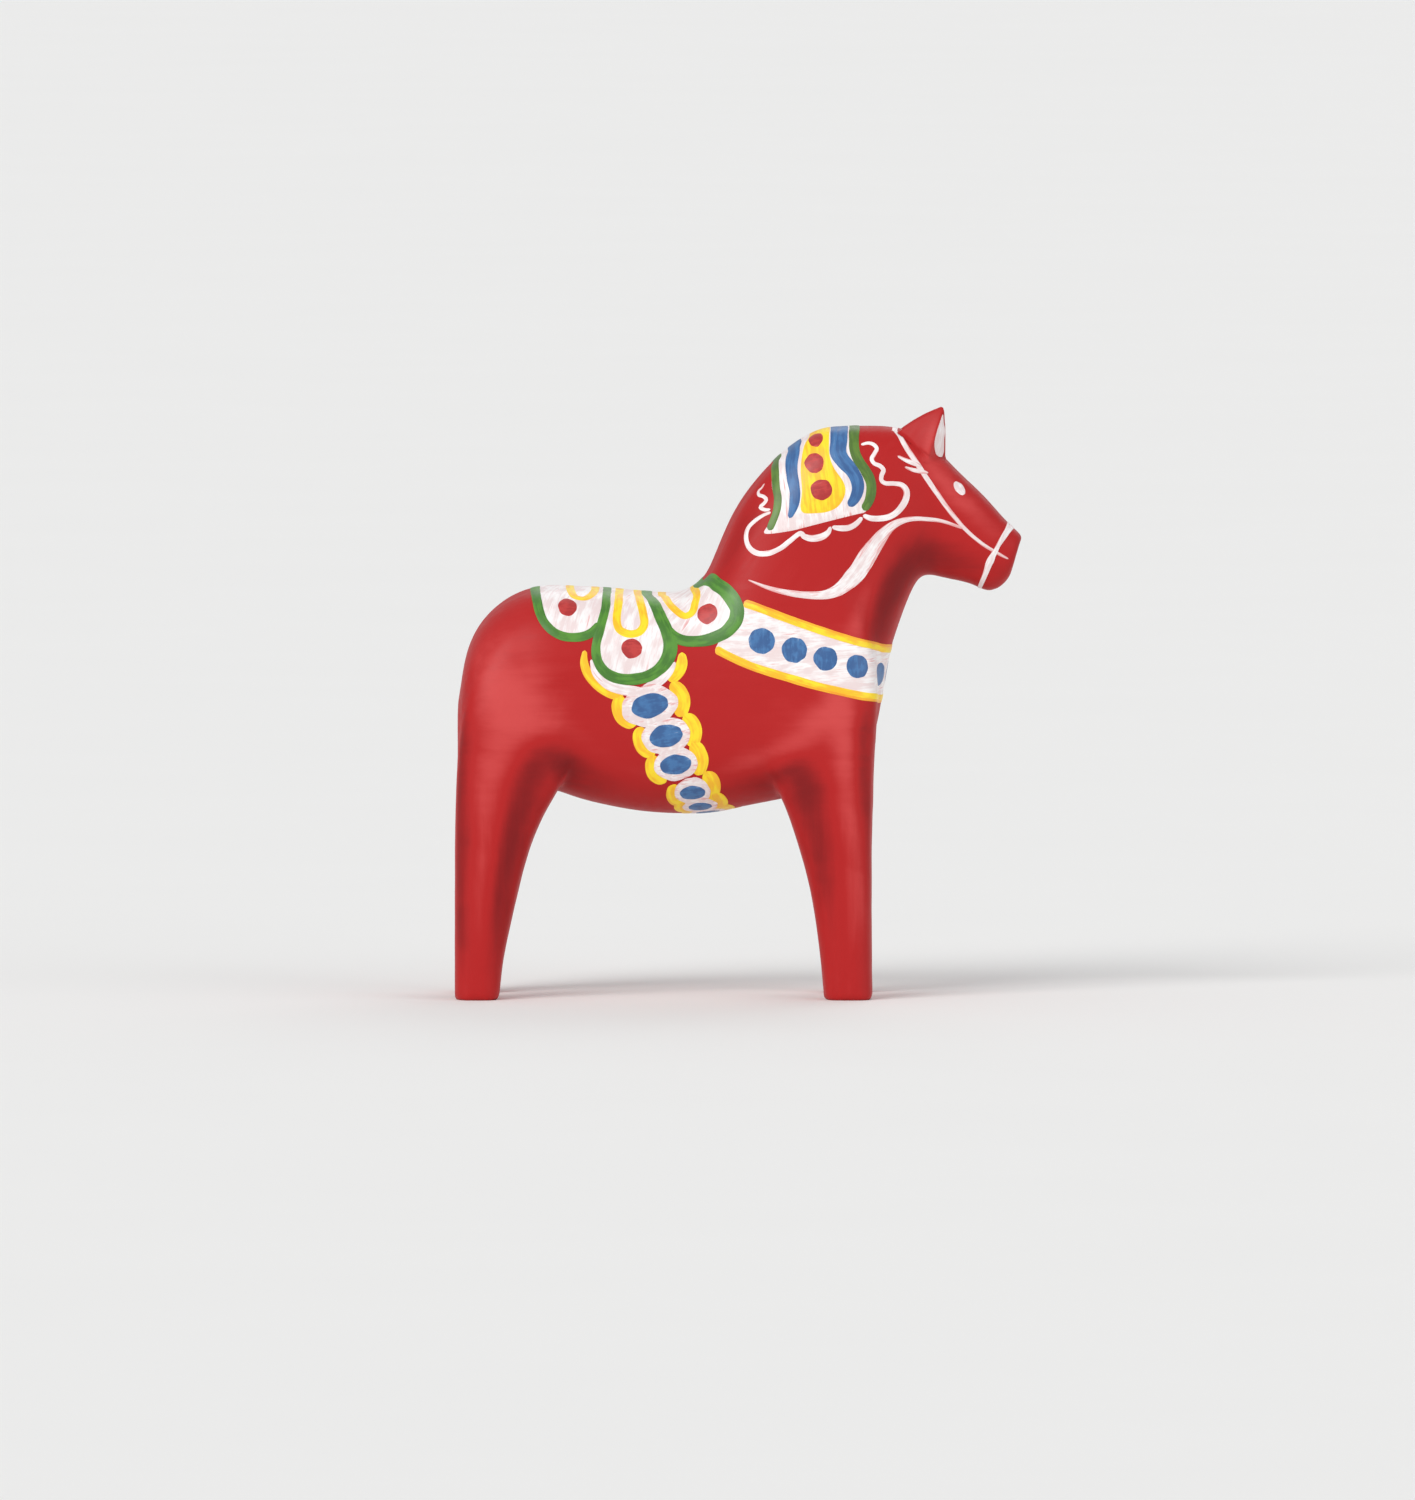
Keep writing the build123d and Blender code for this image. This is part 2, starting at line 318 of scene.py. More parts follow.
def bare_pine():
    """Raw pine with its grain along Z."""
    material, tree, shader = new_material("bare_pine")
    place = object_millimetres(tree)
    rings = noise_value(tree, place, (0.30, 0.30, 0.006), 3.0, 0.6, 0.8)
    colour = blended(tree, ramped(tree, rings, 0.42, 0.62), PINE, PINE_LATE)
    linked(tree, colour, shader.inputs["Base Color"])
    linked(tree, ramped(tree, rings, 0.3, 0.7, 0.62, 0.74), shader.inputs["Roughness"])
    bumped(tree, shader, rings, 0.1)
    return material


def studio_floor():
    """Plain pale card, faintly clouded."""
    material, tree, shader = new_material("studio_floor")
    place = object_millimetres(tree)
    cloud = noise_value(tree, place, (0.004, 0.004, 0.004), 2.0)
    colour = blended(tree, ramped(tree, cloud, 0.3, 0.7, 0.0, 0.05), STUDIO, STUDIO_CLOUD)
    linked(tree, colour, shader.inputs["Base Color"])
    shader.inputs["Roughness"].default_value = 0.85
    shader.inputs["Specular IOR Level"].default_value = 0.15
    return material


# Each ornament paint's colour, its shade, the colour where it is thin, and how much of it covers.
ORNAMENT_PAINTS = {
    "white_paint": (WHITE, WHITE_SHADE, (0.72, 0.27, 0.26), 0.69),
    "yellow_paint": (YELLOW, YELLOW_SHADE, (0.80, 0.30, 0.10), 0.80),
    "green_paint": (GREEN, GREEN_SHADE, (0.22, 0.18, 0.03), 0.82),
    "blue_paint": (BLUE, BLUE_SHADE, (0.45, 0.52, 0.66), 0.80),
    "amber_paint": (AMBER, AMBER_SHADE, (0.70, 0.20, 0.05), 0.84),
    "mane_green_paint": (MANE_GREEN, MANE_GREEN_SHADE, (0.24, 0.24, 0.05), 0.82),
    "dot_red_paint": (DOT_RED, DOT_RED_SHADE, (0.78, 0.30, 0.27), 0.84),
}
PAINTS = {"red_paint": red_paint()}
PAINTS |= {name: stroke_paint(name, *look) for name, look in ORNAMENT_PAINTS.items()}
PAINTS["bare_pine"] = bare_pine()


# ---- Meshes ----
def add_object(name, data):
    """A new object in the scene, of a mesh, camera or light."""
    made = bpy.data.objects.new(name, data)
    bpy.context.scene.collection.objects.link(made)
    return made


def triangles_of(mesh):
    """The points and triangles of a mesh, as arrays."""
    points = np.empty(len(mesh.vertices) * 3)
    mesh.vertices.foreach_get("co", points)
    mesh.calc_loop_triangles()
    triangles = np.empty(len(mesh.loop_triangles) * 3, int)
    mesh.loop_triangles.foreach_get("vertices", triangles)
    return points.reshape(-1, 3), triangles.reshape(-1, 3)


def remeshed(parts, voxel):
    """One closed quad mesh round several closed triangle meshes: its points and faces."""
    offsets = np.cumsum([0] + [len(points) for points, _ in parts])
    points = np.vstack([points for points, _ in parts])
    triangles = np.vstack([triangles + offset for (_, triangles), offset in zip(parts, offsets)])
    mesh = bpy.data.meshes.new("blank")
    mesh.from_pydata(points.tolist(), [], triangles.tolist())
    blank = add_object("blank", mesh)
    modifier = blank.modifiers.new("remesh", "REMESH")
    modifier.mode = "VOXEL"
    modifier.voxel_size = voxel
    made = bpy.data.meshes.new_from_object(blank.evaluated_get(bpy.context.evaluated_depsgraph_get()))
    bpy.data.objects.remove(blank)
    points = np.empty(len(made.vertices) * 3)
    made.vertices.foreach_get("co", points)
    faces = np.empty(len(made.polygons) * 4, int)
    made.polygons.foreach_get("vertices", faces)
    return points.reshape(-1, 3), faces.reshape(-1, 4)


class Carving:
    """A quad mesh that can be smoothed, filleted and shaken like carved wood."""

    def __init__(self, points, faces):
        self.points, self.faces = points, faces
        sides = np.vstack([faces[:, (k, (k + 1) % 4)] for k in range(4)])
        self.edges = np.unique(np.sort(sides, axis=1), axis=0)
        self.count = np.bincount(self.edges.ravel(), minlength=len(points))[:, None]

    def spread(self, values):
        """Each point's mean over its neighbours, of an array with one row for each point."""
        first, second = self.edges.T
        columns = []
        for column in values.T:
            total = np.bincount(first, column[second], len(values))
            total += np.bincount(second, column[first], len(values))
            columns.append(total)
        return np.stack(columns, axis=1) / self.count

    def normals(self):
        """Each point's normal."""
        corners = self.points[self.faces]
        crossed = np.cross(corners[:, 2] - corners[:, 0], corners[:, 3] - corners[:, 1])
        total = np.zeros_like(self.points)
        for k in range(4):
            for axis in range(3):
                total[:, axis] += np.bincount(self.faces[:, k], crossed[:, axis], len(total))
        return total / np.maximum(np.linalg.norm(total, axis=1, keepdims=True), 1e-12)

    def smooth(self, passes):
        """Moves each point towards its neighbours."""
        for _ in range(passes):
            self.points += SMOOTH_RATE * (self.spread(self.points) - self.points)

    def fillet(self, passes, share=1.0):
        """Fills inside corners, and leaves outside ones alone; share weighs each point's fill."""
        for count in range(passes):
            if count % FILLET_NORMALS_EVERY == 0:
                normals = self.normals()
            lift = np.sum((self.spread(self.points) - self.points) * normals, axis=1)
            lift = np.maximum(lift, 0.0) * FILLET_RATE * share
            self.points += normals * lift[:, None]

    def shake(self, layers):
        """Moves the surface in and out a little, in (size, depth) layers, both in millimetres."""
        normals = self.normals()
        for size, depth in layers:
            scale = 1.0 / (size * MM)
            wave = np.array([noise.noise(Vector(point * scale)) for point in self.points])
            self.points += normals * (wave * depth * MM)[:, None]

    def mesh(self, name):
        """A smooth-shaded mesh of it."""
        made = bpy.data.meshes.new(name)
        made.from_pydata(self.points.tolist(), [], self.faces.tolist())
        made.polygons.foreach_set("use_smooth", np.ones(len(made.polygons), bool))
        return made


class Skin:
    """A carved surface to paint on: where rays meet it, and its smooth normal there."""

    def __init__(self, carving):
        self.points = carving.points
        self.faces = carving.faces
        self.normals = carving.normals()
        self.tree = BVHTree.FromPolygons(self.points.tolist(), self.faces.tolist())

    def smooth_normal(self, point, face):
        """The normal at a point of a face, blended from its corners."""
        corners = self.faces[face]
        weights = poly_3d_calc([Vector(self.points[c]) for c in corners], point)
        return Vector(np.dot(weights, self.normals[corners])).normalized()

    def hit(self, start, direction):
        """The first point met from start, and the smooth normal there."""
        point, _, face, _ = self.tree.ray_cast(start, direction)
        if point is None:
            point, _, face, _ = self.tree.find_nearest(start)
        return point, self.smooth_normal(point, face)

    def seen(self, x, z):
        """The point of the right side that shows where (x, z) in the middle plane does, in millimetres."""
        return self.hit(Vector((x * MM, 0, z * MM)) - VIEW * VIEW_REACH, VIEW)[0]


class Wrap:
    """Paper wrapped round an axis: u runs along the axis and v round it, both in millimetres.

    v is 0 where the axis's up direction leaves the skin, and is negative on the right side.
    """

    def __init__(self, skin, origin, along, up, radius):
        self.skin, self.radius = skin, radius
        self.origin = Vector(origin) * MM
        self.along = Vector(along).normalized()
        self.up = Vector(up).normalized()
        self.across = Vector((0, 1, 0))

    def place(self, point):
        """Where a point near the skin lies on the paper."""
        offset = point - self.origin
        angle = math.atan2(offset.dot(self.across), offset.dot(self.up))
        return offset.dot(self.along) / MM, angle * self.radius

    def surface(self, u, v):
        """The skin's point and normal at a place on the paper."""
        angle = v / self.radius
        direction = self.up * math.cos(angle) + self.across * math.sin(angle)
        return self.skin.hit(self.origin + self.along * (u * MM), direction)

    def side(self, x, z):
        """The place of the point that shows at (x, z) in a side view of the right side."""
        return self.place(self.skin.seen(x, z))

    def sides(self, *places):
        """The places of several points that show at (x, z) in that view."""
        return [self.side(x, z) for x, z in places]

    def ridge(self, x, y=0.0):
        """The place of the skin's topmost point at (x, y)."""
        return self.place(self.skin.hit(Vector((x * MM, y * MM, ABOVE)), Vector((0, 0, -1)))[0])

    def keel(self, x, y=0.0):
        """The place of the skin's lowest point at (x, y)."""
        return self.place(self.skin.hit(Vector((x * MM, y * MM, BELOW)), Vector((0, 0, 1)))[0])

    def bow(self, z, y=0.0):
        """The place of the skin's foremost point at height z."""
        return self.place(self.skin.hit(Vector((AHEAD, y * MM, z * MM)), Vector((-1, 0, 0)))[0])


class SideView:
    """Paper held beside one side of the horse: u and v are x and z in the middle plane, in millimetres."""

    def __init__(self, skin, side):
        self.skin = skin
        self.look = Vector((VIEW.x, -side * VIEW.y, VIEW.z))
        self.along, self.up = Vector((1, 0, 0)), Vector((0, 0, 1))

    def place(self, point):
        """Where a point shows on the paper."""
        flat = point - self.look * (point.y / self.look.y)
        return flat.x / MM, flat.z / MM

    def surface(self, u, v):
        """The skin's point and normal behind a place on the paper."""
        return self.skin.hit(Vector((u * MM, 0, v * MM)) - self.look * VIEW_REACH, self.look)


def mirrored(places):
    """A list of (u, v, ...) places on the other side of a wrap."""
    return [(u, -v, *rest) for u, v, *rest in places]


# ---- Paint films ----
def smooth_route(anchors, closed, step):
    """Even rows along a smooth curve through anchors, spaced by their first two columns."""
    rows = np.array(anchors, float)
    if closed:
        rows = np.vstack([rows[-1], rows, rows[0], rows[1]])
    else:
        rows = np.vstack([2 * rows[0] - rows[1], rows, 2 * rows[-1] - rows[-2]])
    dense = []
    for a, b, c, d in zip(rows, rows[1:], rows[2:], rows[3:]):
        count = max(6, int(4 * np.linalg.norm((c - b)[:2]) / step))
        t = np.linspace(0, 1, count, endpoint=False)[:, None]
        curve = 2 * b + (c - a) * t + (2 * a - 5 * b + 4 * c - d) * t**2 + (3 * b - a - 3 * c + d) * t**3
        dense.append(0.5 * curve)
    dense = np.vstack([*dense, rows[-2]])
    travel = np.r_[0.0, np.cumsum(np.linalg.norm(np.diff(dense[:, :2], axis=0), axis=1))]
    count = max(4, round(travel[-1] / step))
    stations = np.linspace(0.0, travel[-1], count + 1)
    samples = np.stack([np.interp(stations, travel, column) for column in dense.T], axis=1)
    return samples[:-1] if closed else samples


def crown(share):
    """The height of a film across it: 0 at its edges (share 1) and 1 over its middle."""
    return 1.0 - abs(share) ** 4


class Film:
    """The strokes, dots and patches of one colour in one motif, gathered into one mesh."""

    def __init__(self, name, paint):
        self.name, self.paint = name, paint
        self.points, self.faces, self.strokes, self.dryness = [], [], [], []
        self.seed = 0

    def begin(self, level):
        """Starts a stroke at a level above the skin; returns its seed and its base height."""
        self.seed += 1
        number = sum(map(ord, self.name)) % 97 + SEED_STEP * self.seed
        return number, FILM_START + FILM_PITCH * level

    def lay(self, spot, up, lift, mark, dry):
        """Adds a point on the film and one rooted in the skin below it; returns their numbers."""
        for height in (lift, -FILM_ROOT):
            self.points.append(spot + up * height * MM)
            self.strokes.append(mark)
            self.dryness.append(dry)
        return len(self.points) - 2, len(self.points) - 1

    def stroke(self, chart, anchors, level=0, closed=False, dry_end=0.0, dry_start=0.0):
        """A brush stroke through (u, v, width) anchors."""
        seed, base = self.begin(level)
        samples = smooth_route(anchors, closed, STROKE_STEP)
        places = [chart.surface(u, v) for u, v, _ in samples]
        count = len(samples)
        hops = [(after[0] - before[0]).length / MM for before, after in zip(places, places[1:])]
        travel = np.r_[0.0, np.cumsum(hops)]
        length = travel[-1]
        across = max(5, 2 * round(max(samples[:, 2]) / STROKE_COLUMN) + 1)
        shares = np.linspace(-1, 1, across)
        rings = []
        for k, (centre, normal) in enumerate(places):
            before = places[k - 1 if closed or k else 0][0]
            after = places[(k + 1) % count if closed else min(k + 1, count - 1)][0]
            sideways = normal.cross(after - before).normalized()
            half, travelled = samples[k, 2] / 2, travel[k]
            to_end = min(travelled, length - travelled)
            if not closed and to_end < half:
                half *= math.sqrt(max(0.03, 1 - (1 - to_end / half) ** 2))
            dryness = dry_start * max(0.0, 1 - travelled / (DRY_START * length))
            dryness = max(dryness, dry_end * max(0.0, 1 - (length - travelled) / (DRY_END * length)))
            along = travelled * WOBBLE_FREQUENCY
            wobble = [noise.noise(Vector((along, seed, edge * 9.0))) for edge in (-1, 1)]
            columns = []
            for share in shares:
                edge = wobble[0] if share < 0 else wobble[1]
                reach = share * half * (1 + EDGE_WOBBLE * 2 * edge)
                spot, up = chart.surface(*chart.place(centre + sideways * reach * MM))
                mark = (travelled + MARK_SHIFT * seed, reach, seed)
                lift = base + FILM_CROWN * crown(share)
                columns.append(self.lay(spot, up, lift, mark, dryness + EDGE_DRYNESS * abs(share) ** 3))
            top, bottom = zip(*columns)
            rings.append(top + bottom[::-1])
        later_rings = rings[1:] + rings[:1] if closed else rings[1:]
        for ring, following in zip(rings, later_rings):
            for k in range(len(ring)):
                after = (k + 1) % len(ring)
                self.faces.append((ring[k], ring[after], following[after], following[k]))
        if not closed:
            self.faces += [rings[0][::-1], rings[-1]]

    def dot(self, chart, centre, radii, tilt=0.0, level=1):
        """A round or oval dab, its first radius along the chart's u when the tilt is 0."""
        seed, base = self.begin(level)
        middle, normal = chart.surface(*centre)
        first = (chart.along - normal * normal.dot(chart.along)).normalized()
        second = normal.cross(first)
        if second.dot(chart.up) < 0:
            second = -second
        top, bottom = [], []
        for share in DOT_RINGS:
            columns = []
            for k in range(DOT_TURNS if share else 1):
                angle = 2 * math.pi * k / DOT_TURNS
                ripple = noise.noise(Vector((2 * math.cos(angle), 2 * math.sin(angle), seed)))
                reach = share * (1 + 1.6 * EDGE_WOBBLE * ripple)
                along = radii[0] * reach * math.cos(angle)
                across = radii[1] * reach * math.sin(angle)
                u = along * math.cos(tilt) - across * math.sin(tilt)
                v = along * math.sin(tilt) + across * math.cos(tilt)
                spot, up = chart.surface(*chart.place(middle + (first * u + second * v) * MM))
                mark = (along * 2.2 + MARK_SHIFT * seed, across, seed)
                lift = base + FILM_CROWN * crown(share)
                columns.append(self.lay(spot, up, lift, mark, DOT_DRYNESS * share**3))
            for rows, row in zip((top, bottom), zip(*columns)):
                rows.append(row)
        for rows, flip in ((top, False), (bottom, True)):
            for k in range(DOT_TURNS):
                after = (k + 1) % DOT_TURNS
                fan = (rows[0][0], rows[1][k], rows[1][after])
                self.faces.append(fan[::-1] if flip else fan)
                for inner, outer in zip(rows[1:], rows[2:]):
                    quad = (inner[k], outer[k], outer[after], inner[after])
                    self.faces.append(quad[::-1] if flip else quad)
        for k in range(DOT_TURNS):
            after = (k + 1) % DOT_TURNS
            self.faces.append((top[-1][k], bottom[-1][k], bottom[-1][after], top[-1][after]))

    def dot_pair(self, chart, place, radii, level=1):
        """A dot, and its mirror image on the other side."""
        for centre in (place, *mirrored([place])):
            self.dot(chart, centre, radii, level=level)

    def patch(self, chart, outline, level=0, grain=0.0):
        """A filled shape inside a smooth outline of (u, v) anchors, brushed along an angle on the chart."""
        seed, base = self.begin(level)
        ring = smooth_route(outline, True, OUTLINE_STEP)
        low, high = ring.min(axis=0), ring.max(axis=0)
        grid = []
        for row, v in enumerate(np.arange(low[1], high[1], PATCH_ROW)):
            for u in np.arange(low[0] + (row % 2) * PATCH_STEP / 2, high[0], PATCH_STEP):
                grid.append((u, v))
        grid = np.array([place for place in grid if inside_ring(place, ring)])
        grid = grid[edge_distance(grid, ring) > 0.45 * PATCH_STEP]
        places = [Vector(p) for p in np.vstack([ring, grid])]
        loop = list(range(len(ring)))
        places, _, faces, _, _, _ = geometry.delaunay_2d_cdt(places, [], [loop], 1, 1e-6)
        flat = np.array([tuple(p) for p in places])
        depth = edge_distance(flat, ring)
        turn = (math.cos(grain), math.sin(grain))
        columns = []
        for (u, v), inset in zip(flat, depth):
            spot, up = chart.surface(u, v)
            mark = (u * turn[0] + v * turn[1] + MARK_SHIFT * seed, v * turn[0] - u * turn[1], seed)
            lift = base + FILM_CROWN * crown(max(0.0, 1 - inset / PATCH_CROWN))
            columns.append(self.lay(spot, up, lift, mark, EDGE_DRYNESS * max(0.0, 1 - inset / PATCH_DRY)))
        top, bottom = zip(*columns)
        first = [Vector(self.points[top[k]]) for k in faces[0]]
        facing = geometry.normal(first).dot(chart.surface(*flat[faces[0][0]])[1])
        edges = {}
        for face in faces:
            order = face if facing > 0 else face[::-1]
            self.faces.append(tuple(top[k] for k in order))
            self.faces.append(tuple(bottom[k] for k in order[::-1]))
            edges.update(dict.fromkeys(zip(order, order[1:] + order[:1])))
        for k, after in edges:
            if (after, k) not in edges:
                self.faces.append((top[k], bottom[k], bottom[after], top[after]))

    def finish(self):
        """Makes the object, and lets it ride on the horse."""
        mesh = bpy.data.meshes.new(self.name)
        mesh.from_pydata([tuple(p) for p in self.points], [], self.faces)
        mesh.polygons.foreach_set("use_smooth", np.ones(len(mesh.polygons), bool))
        marks = mesh.attributes.new("stroke", "FLOAT_VECTOR", "POINT")
        marks.data.foreach_set("vector", np.array(self.strokes, np.float32).ravel())
        set_values(mesh, "dryness", self.dryness)
        built = bmesh.new()
        built.from_mesh(mesh)
        bmesh.ops.recalc_face_normals(built, faces=built.faces)
        built.to_mesh(mesh)
        built.free()
        mesh.set_sharp_from_angle(angle=SHARP_ANGLE)
        mesh.materials.append(PAINTS[self.paint])
        made = add_object(self.name, mesh)
        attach(made, BODY)


def set_values(mesh, name, values):
    """Stores a value for each point of a mesh."""
    mesh.attributes.new(name, "FLOAT", "POINT").data.foreach_set("value", np.asarray(values, np.float32))


def inside_ring(point, ring):
    """Whether a point lies in a closed polygon."""
    (x, y), (x1, y1), (x2, y2) = point, ring.T, np.roll(ring, -1, axis=0).T
    crosses = (y1 > y) != (y2 > y)
    rise = np.where(y2 == y1, 1e-9, y2 - y1)
    return np.count_nonzero(crosses & (x < (x2 - x1) * (y - y1) / rise + x1)) % 2 == 1


def edge_distance(points, ring):
    """Each point's distance to a closed polygon's edge."""
    start, end = ring, np.roll(ring, -1, axis=0)
    run = end - start
    nearest = np.full(len(points), np.inf)
    for a, d in zip(start, run):
        share = np.clip(((points - a) @ d) / max(d @ d, 1e-12), 0, 1)
        nearest = np.minimum(nearest, np.linalg.norm(points - a - share[:, None] * d, axis=1))
    return nearest


# ---- The carved horse ----
def ear_peg(side, start, end):
    """One ear peg, drawn in to a span between two shares of its length, from foot to head."""
    points, triangles = triangles_of(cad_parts["ear_pegs"].data)
    mine = points[:, 1] * side > 0
    middle = points[mine, 2].mean()
    foot = points[mine & (points[:, 2] < middle)].mean(axis=0)
    head = points[mine & (points[:, 2] > middle)].mean(axis=0)
    run = head - foot
    share = (points - foot) @ run / (run @ run)
    points = points + np.outer(start + share * (end - start) - share, run)
    return points, triangles[mine[triangles[:, 0]]]


def carve_horse():
    """The whole outer surface of the staves, knife-carved: soft inside corners and a slight wobble."""
    parts = [triangles_of(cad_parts[stave].data) for stave in STAVES]
    parts += [ear_peg(side, *HEAD_PLUG) for side in (RIGHT, LEFT)]
    carving = Carving(*remeshed(parts, SKIN_VOXEL))
    carving.fillet(CORNER_FILLET_PASSES)
    x, _, z = carving.points.T / MM
    share = soft_step(z, *BODY_FILLET_HEIGHT) * (1 - soft_step(x, *BODY_FILLET_FRONT))
    carving.fillet(BODY_FILLET_PASSES, share)
    carving.smooth(SKIN_SMOOTH_PASSES)
    carving.shake(KNIFE_WOBBLE)
    carving.points[carving.points[:, 2] < FOOT_FLAT, 2] = 0.0
    return carving


def soft_step(values, low, high):
    """0 below low, 1 above high, and smooth between."""
    share = np.clip((values - low) / (high - low), 0, 1)
    return share * share * (3 - 2 * share)


def paint_directions(points):
    """How far the red paint is brushed along the legs, and along the neck, at each point."""
    x, _, z = points.T / MM
    leg = 1 - soft_step(z, *LEG_BRUSHING)
    neck = soft_step(z + NECK_SLOPE * x, *NECK_BRUSHING) * (1 - soft_step(x, *HEAD_BRUSHING))
    return leg, neck


# Soft light and shade of the carved form, painted into the red: highlights on haunch, legs, chest and head,
# shade on rump, belly, legs, neck and throat; as (x, z, reach, strength): highlight above 0, shade below.
PAINTED_HIGHLIGHTS_AND_SHADE = (
    ((-121, 172, 17, 0.35), (-119, 160, 20, 0.64), (-116, 146, 19, 0.62), (-118, 130, 15, 0.6),
     (-127, 112, 10, 0.6), (-129, 90, 8, 0.55), (-131, 64, 7, 0.5), (-132, 38, 7, 0.4), (-132, 22, 6, 0.2)),
    ((-112, 146, 16, 0.5), (-96, 137, 12, 0.5), (-80, 127.5, 9, 0.45), (-64, 118, 7, 0.35),
     (-46, 111.5, 6, 0.2)),
    ((-12, 112, 5, 0.2), (5, 118.5, 6, 0.5), (19.4, 123, 7, 0.65), (33, 132, 8, 0.65), (44, 143, 9, 0.6),
     (52, 153, 10, 0.35), (56, 166, 9, 0.1)),
    ((52, 152, 8, 0.4), (54, 130, 8, 0.75), (55, 110, 7.5, 0.7), (57, 90, 7, 0.6), (60, 68, 6, 0.5),
     (61, 48, 5, 0.4), (61, 26, 5, 0.1)),
    ((59, 176, 6, 0.1), (60, 186, 6, 0.6), (64, 200, 5.5, 0.6), (69.5, 213, 5, 0.5), (77, 223, 5, 0.25)),
    ((100, 293, 2, 0.15), (98.4, 287, 3, 0.4), (96.6, 279, 4, 0.5), (97.6, 272, 5.5, 0.5),
     (102, 265, 6, 0.6), (108, 257.5, 6, 0.6), (115, 250, 6, 0.6), (123, 242.6, 5.5, 0.45),
     (131, 235, 5, 0.2)),
    ((-139.5, 166, 6, -0.3), (-141, 140, 7, -0.65), (-141.5, 110, 7, -0.8), (-141, 70, 7, -0.8),
     (-141, 40, 6, -0.65), (-140, 12, 5, -0.25)),
    ((-12, 212, 7, -0.1), (-5, 222, 7, -0.3), (3, 238, 7, -0.35), (12, 256, 6, -0.1)),
    ((-60, 108.5, 9, -0.12), (-74, 113, 10, -0.45), (-88, 118, 12, -0.82), (-99, 121, 12, -0.88),
     (-106, 110, 10, -0.9), (-111.5, 94, 8.5, -0.85), (-116, 77, 7.5, -0.8), (-119.5, 60, 7, -0.78),
     (-122, 42, 6.5, -0.65), (-123.5, 24, 6, -0.35), (-124, 12, 5, -0.1)),
    ((-60, 108.5, 9, -0.12), (-44, 105, 9, -0.15), (-24, 103.5, 8, -0.2), (-4, 105.5, 8, -0.3),
     (12, 110, 9, -0.5), (26, 115, 10, -0.8), (33.6, 108, 10, -0.85), (37, 92, 8.5, -0.75),
     (41, 73, 7.5, -0.6), (44.6, 54, 6, -0.5), (47, 38, 5, -0.25), (48, 24, 4, -0.1)),
    ((65, 150, 4, -0.2), (63.4, 134, 5, -0.7), (63, 112, 5, -0.75), (64.6, 92, 4.5, -0.65), (66, 72, 4, -0.5),
     (66.6, 50, 4, -0.2)),
    ((70, 176, 6, -0.4), (71.5, 186, 7.5, -0.75), (74, 198, 9, -0.88), (79.5, 212, 10.5, -0.88),
     (87, 221.5, 11, -0.84), (98, 224.5, 10, -0.7), (110, 222.5, 9, -0.5), (122, 219, 7, -0.3),
     (131, 216, 6, -0.1)),
)


def painted_light_and_shade(carving):
    """Painted light and shade at each point, on the sides only: 1 is a painted highlight, -1 painted shade.
    """
    places = carving.points[:, (0, 2)] / MM
    places[:, 1] -= np.abs(carving.points[:, 1]) / MM * math.tan(CAMERA_ELEVATION)
    painted_light_tone = np.zeros(len(places))
    for shade in PAINTED_HIGHLIGHTS_AND_SHADE:
        strongest = np.zeros(len(places))
        for x, z, reach, strength in smooth_route(shade, False, 2.0):
            near = np.linalg.norm(places - (x, z), axis=1) / reach
            mark = strength * np.exp(-near * near)
            strongest = np.where(np.abs(mark) > np.abs(strongest), mark, strongest)
        painted_light_tone += strongest
    facing = soft_step(np.abs(carving.normals()[:, 1]), 0.12, 0.5)
    return np.clip(painted_light_tone * facing, -1, 1)


def set_brushing_and_painted_light(mesh, points, painted_light_tone):
    """Stores how the red is brushed at each point, and its painted light and shade."""
    leg, neck = paint_directions(points)
    for name, values in (("leg_share", leg), ("neck_share", neck), ("painted_light_tone", painted_light_tone)):
        set_values(mesh, name, values)


def cut(built, plane_point, plane_normal):
    """Cuts away what lies beyond a plane, and closes the cut with faces of the raw-wood material."""
    edges = bmesh.ops.bisect_plane(
        built,
        geom=[*built.verts, *built.edges, *built.faces],
        dist=1e-7,
        plane_co=plane_point,
        plane_no=plane_normal,
        clear_outer=True,
    )["geom_cut"]
    rim = [e for e in edges if isinstance(e, bmesh.types.BMEdge) and e.is_boundary]
    filled = bmesh.ops.triangle_fill(built, use_beauty=True, edges=rim, normal=plane_normal)["geom"]
    for face in filled:
        if isinstance(face, bmesh.types.BMFace):
            face.material_index = 1


def stave_planes(name):
    """The glue planes of a stave, as (point, outward normal): where its box ends on another stave's."""
    low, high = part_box(name)
    planes = {}
    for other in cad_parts:
        if other == name or not other.endswith("_stave"):
            continue
        other_low, other_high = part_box(other)
        for axis in range(3):
            outward = Vector([float(k == axis) for k in range(3)])
            if abs(low[axis] - other_high[axis]) < TOUCHING:
                planes[axis, -1] = (low, -outward)
            if abs(high[axis] - other_low[axis]) < TOUCHING:
                planes[axis, 1] = (high, outward)
    return list(planes.values())


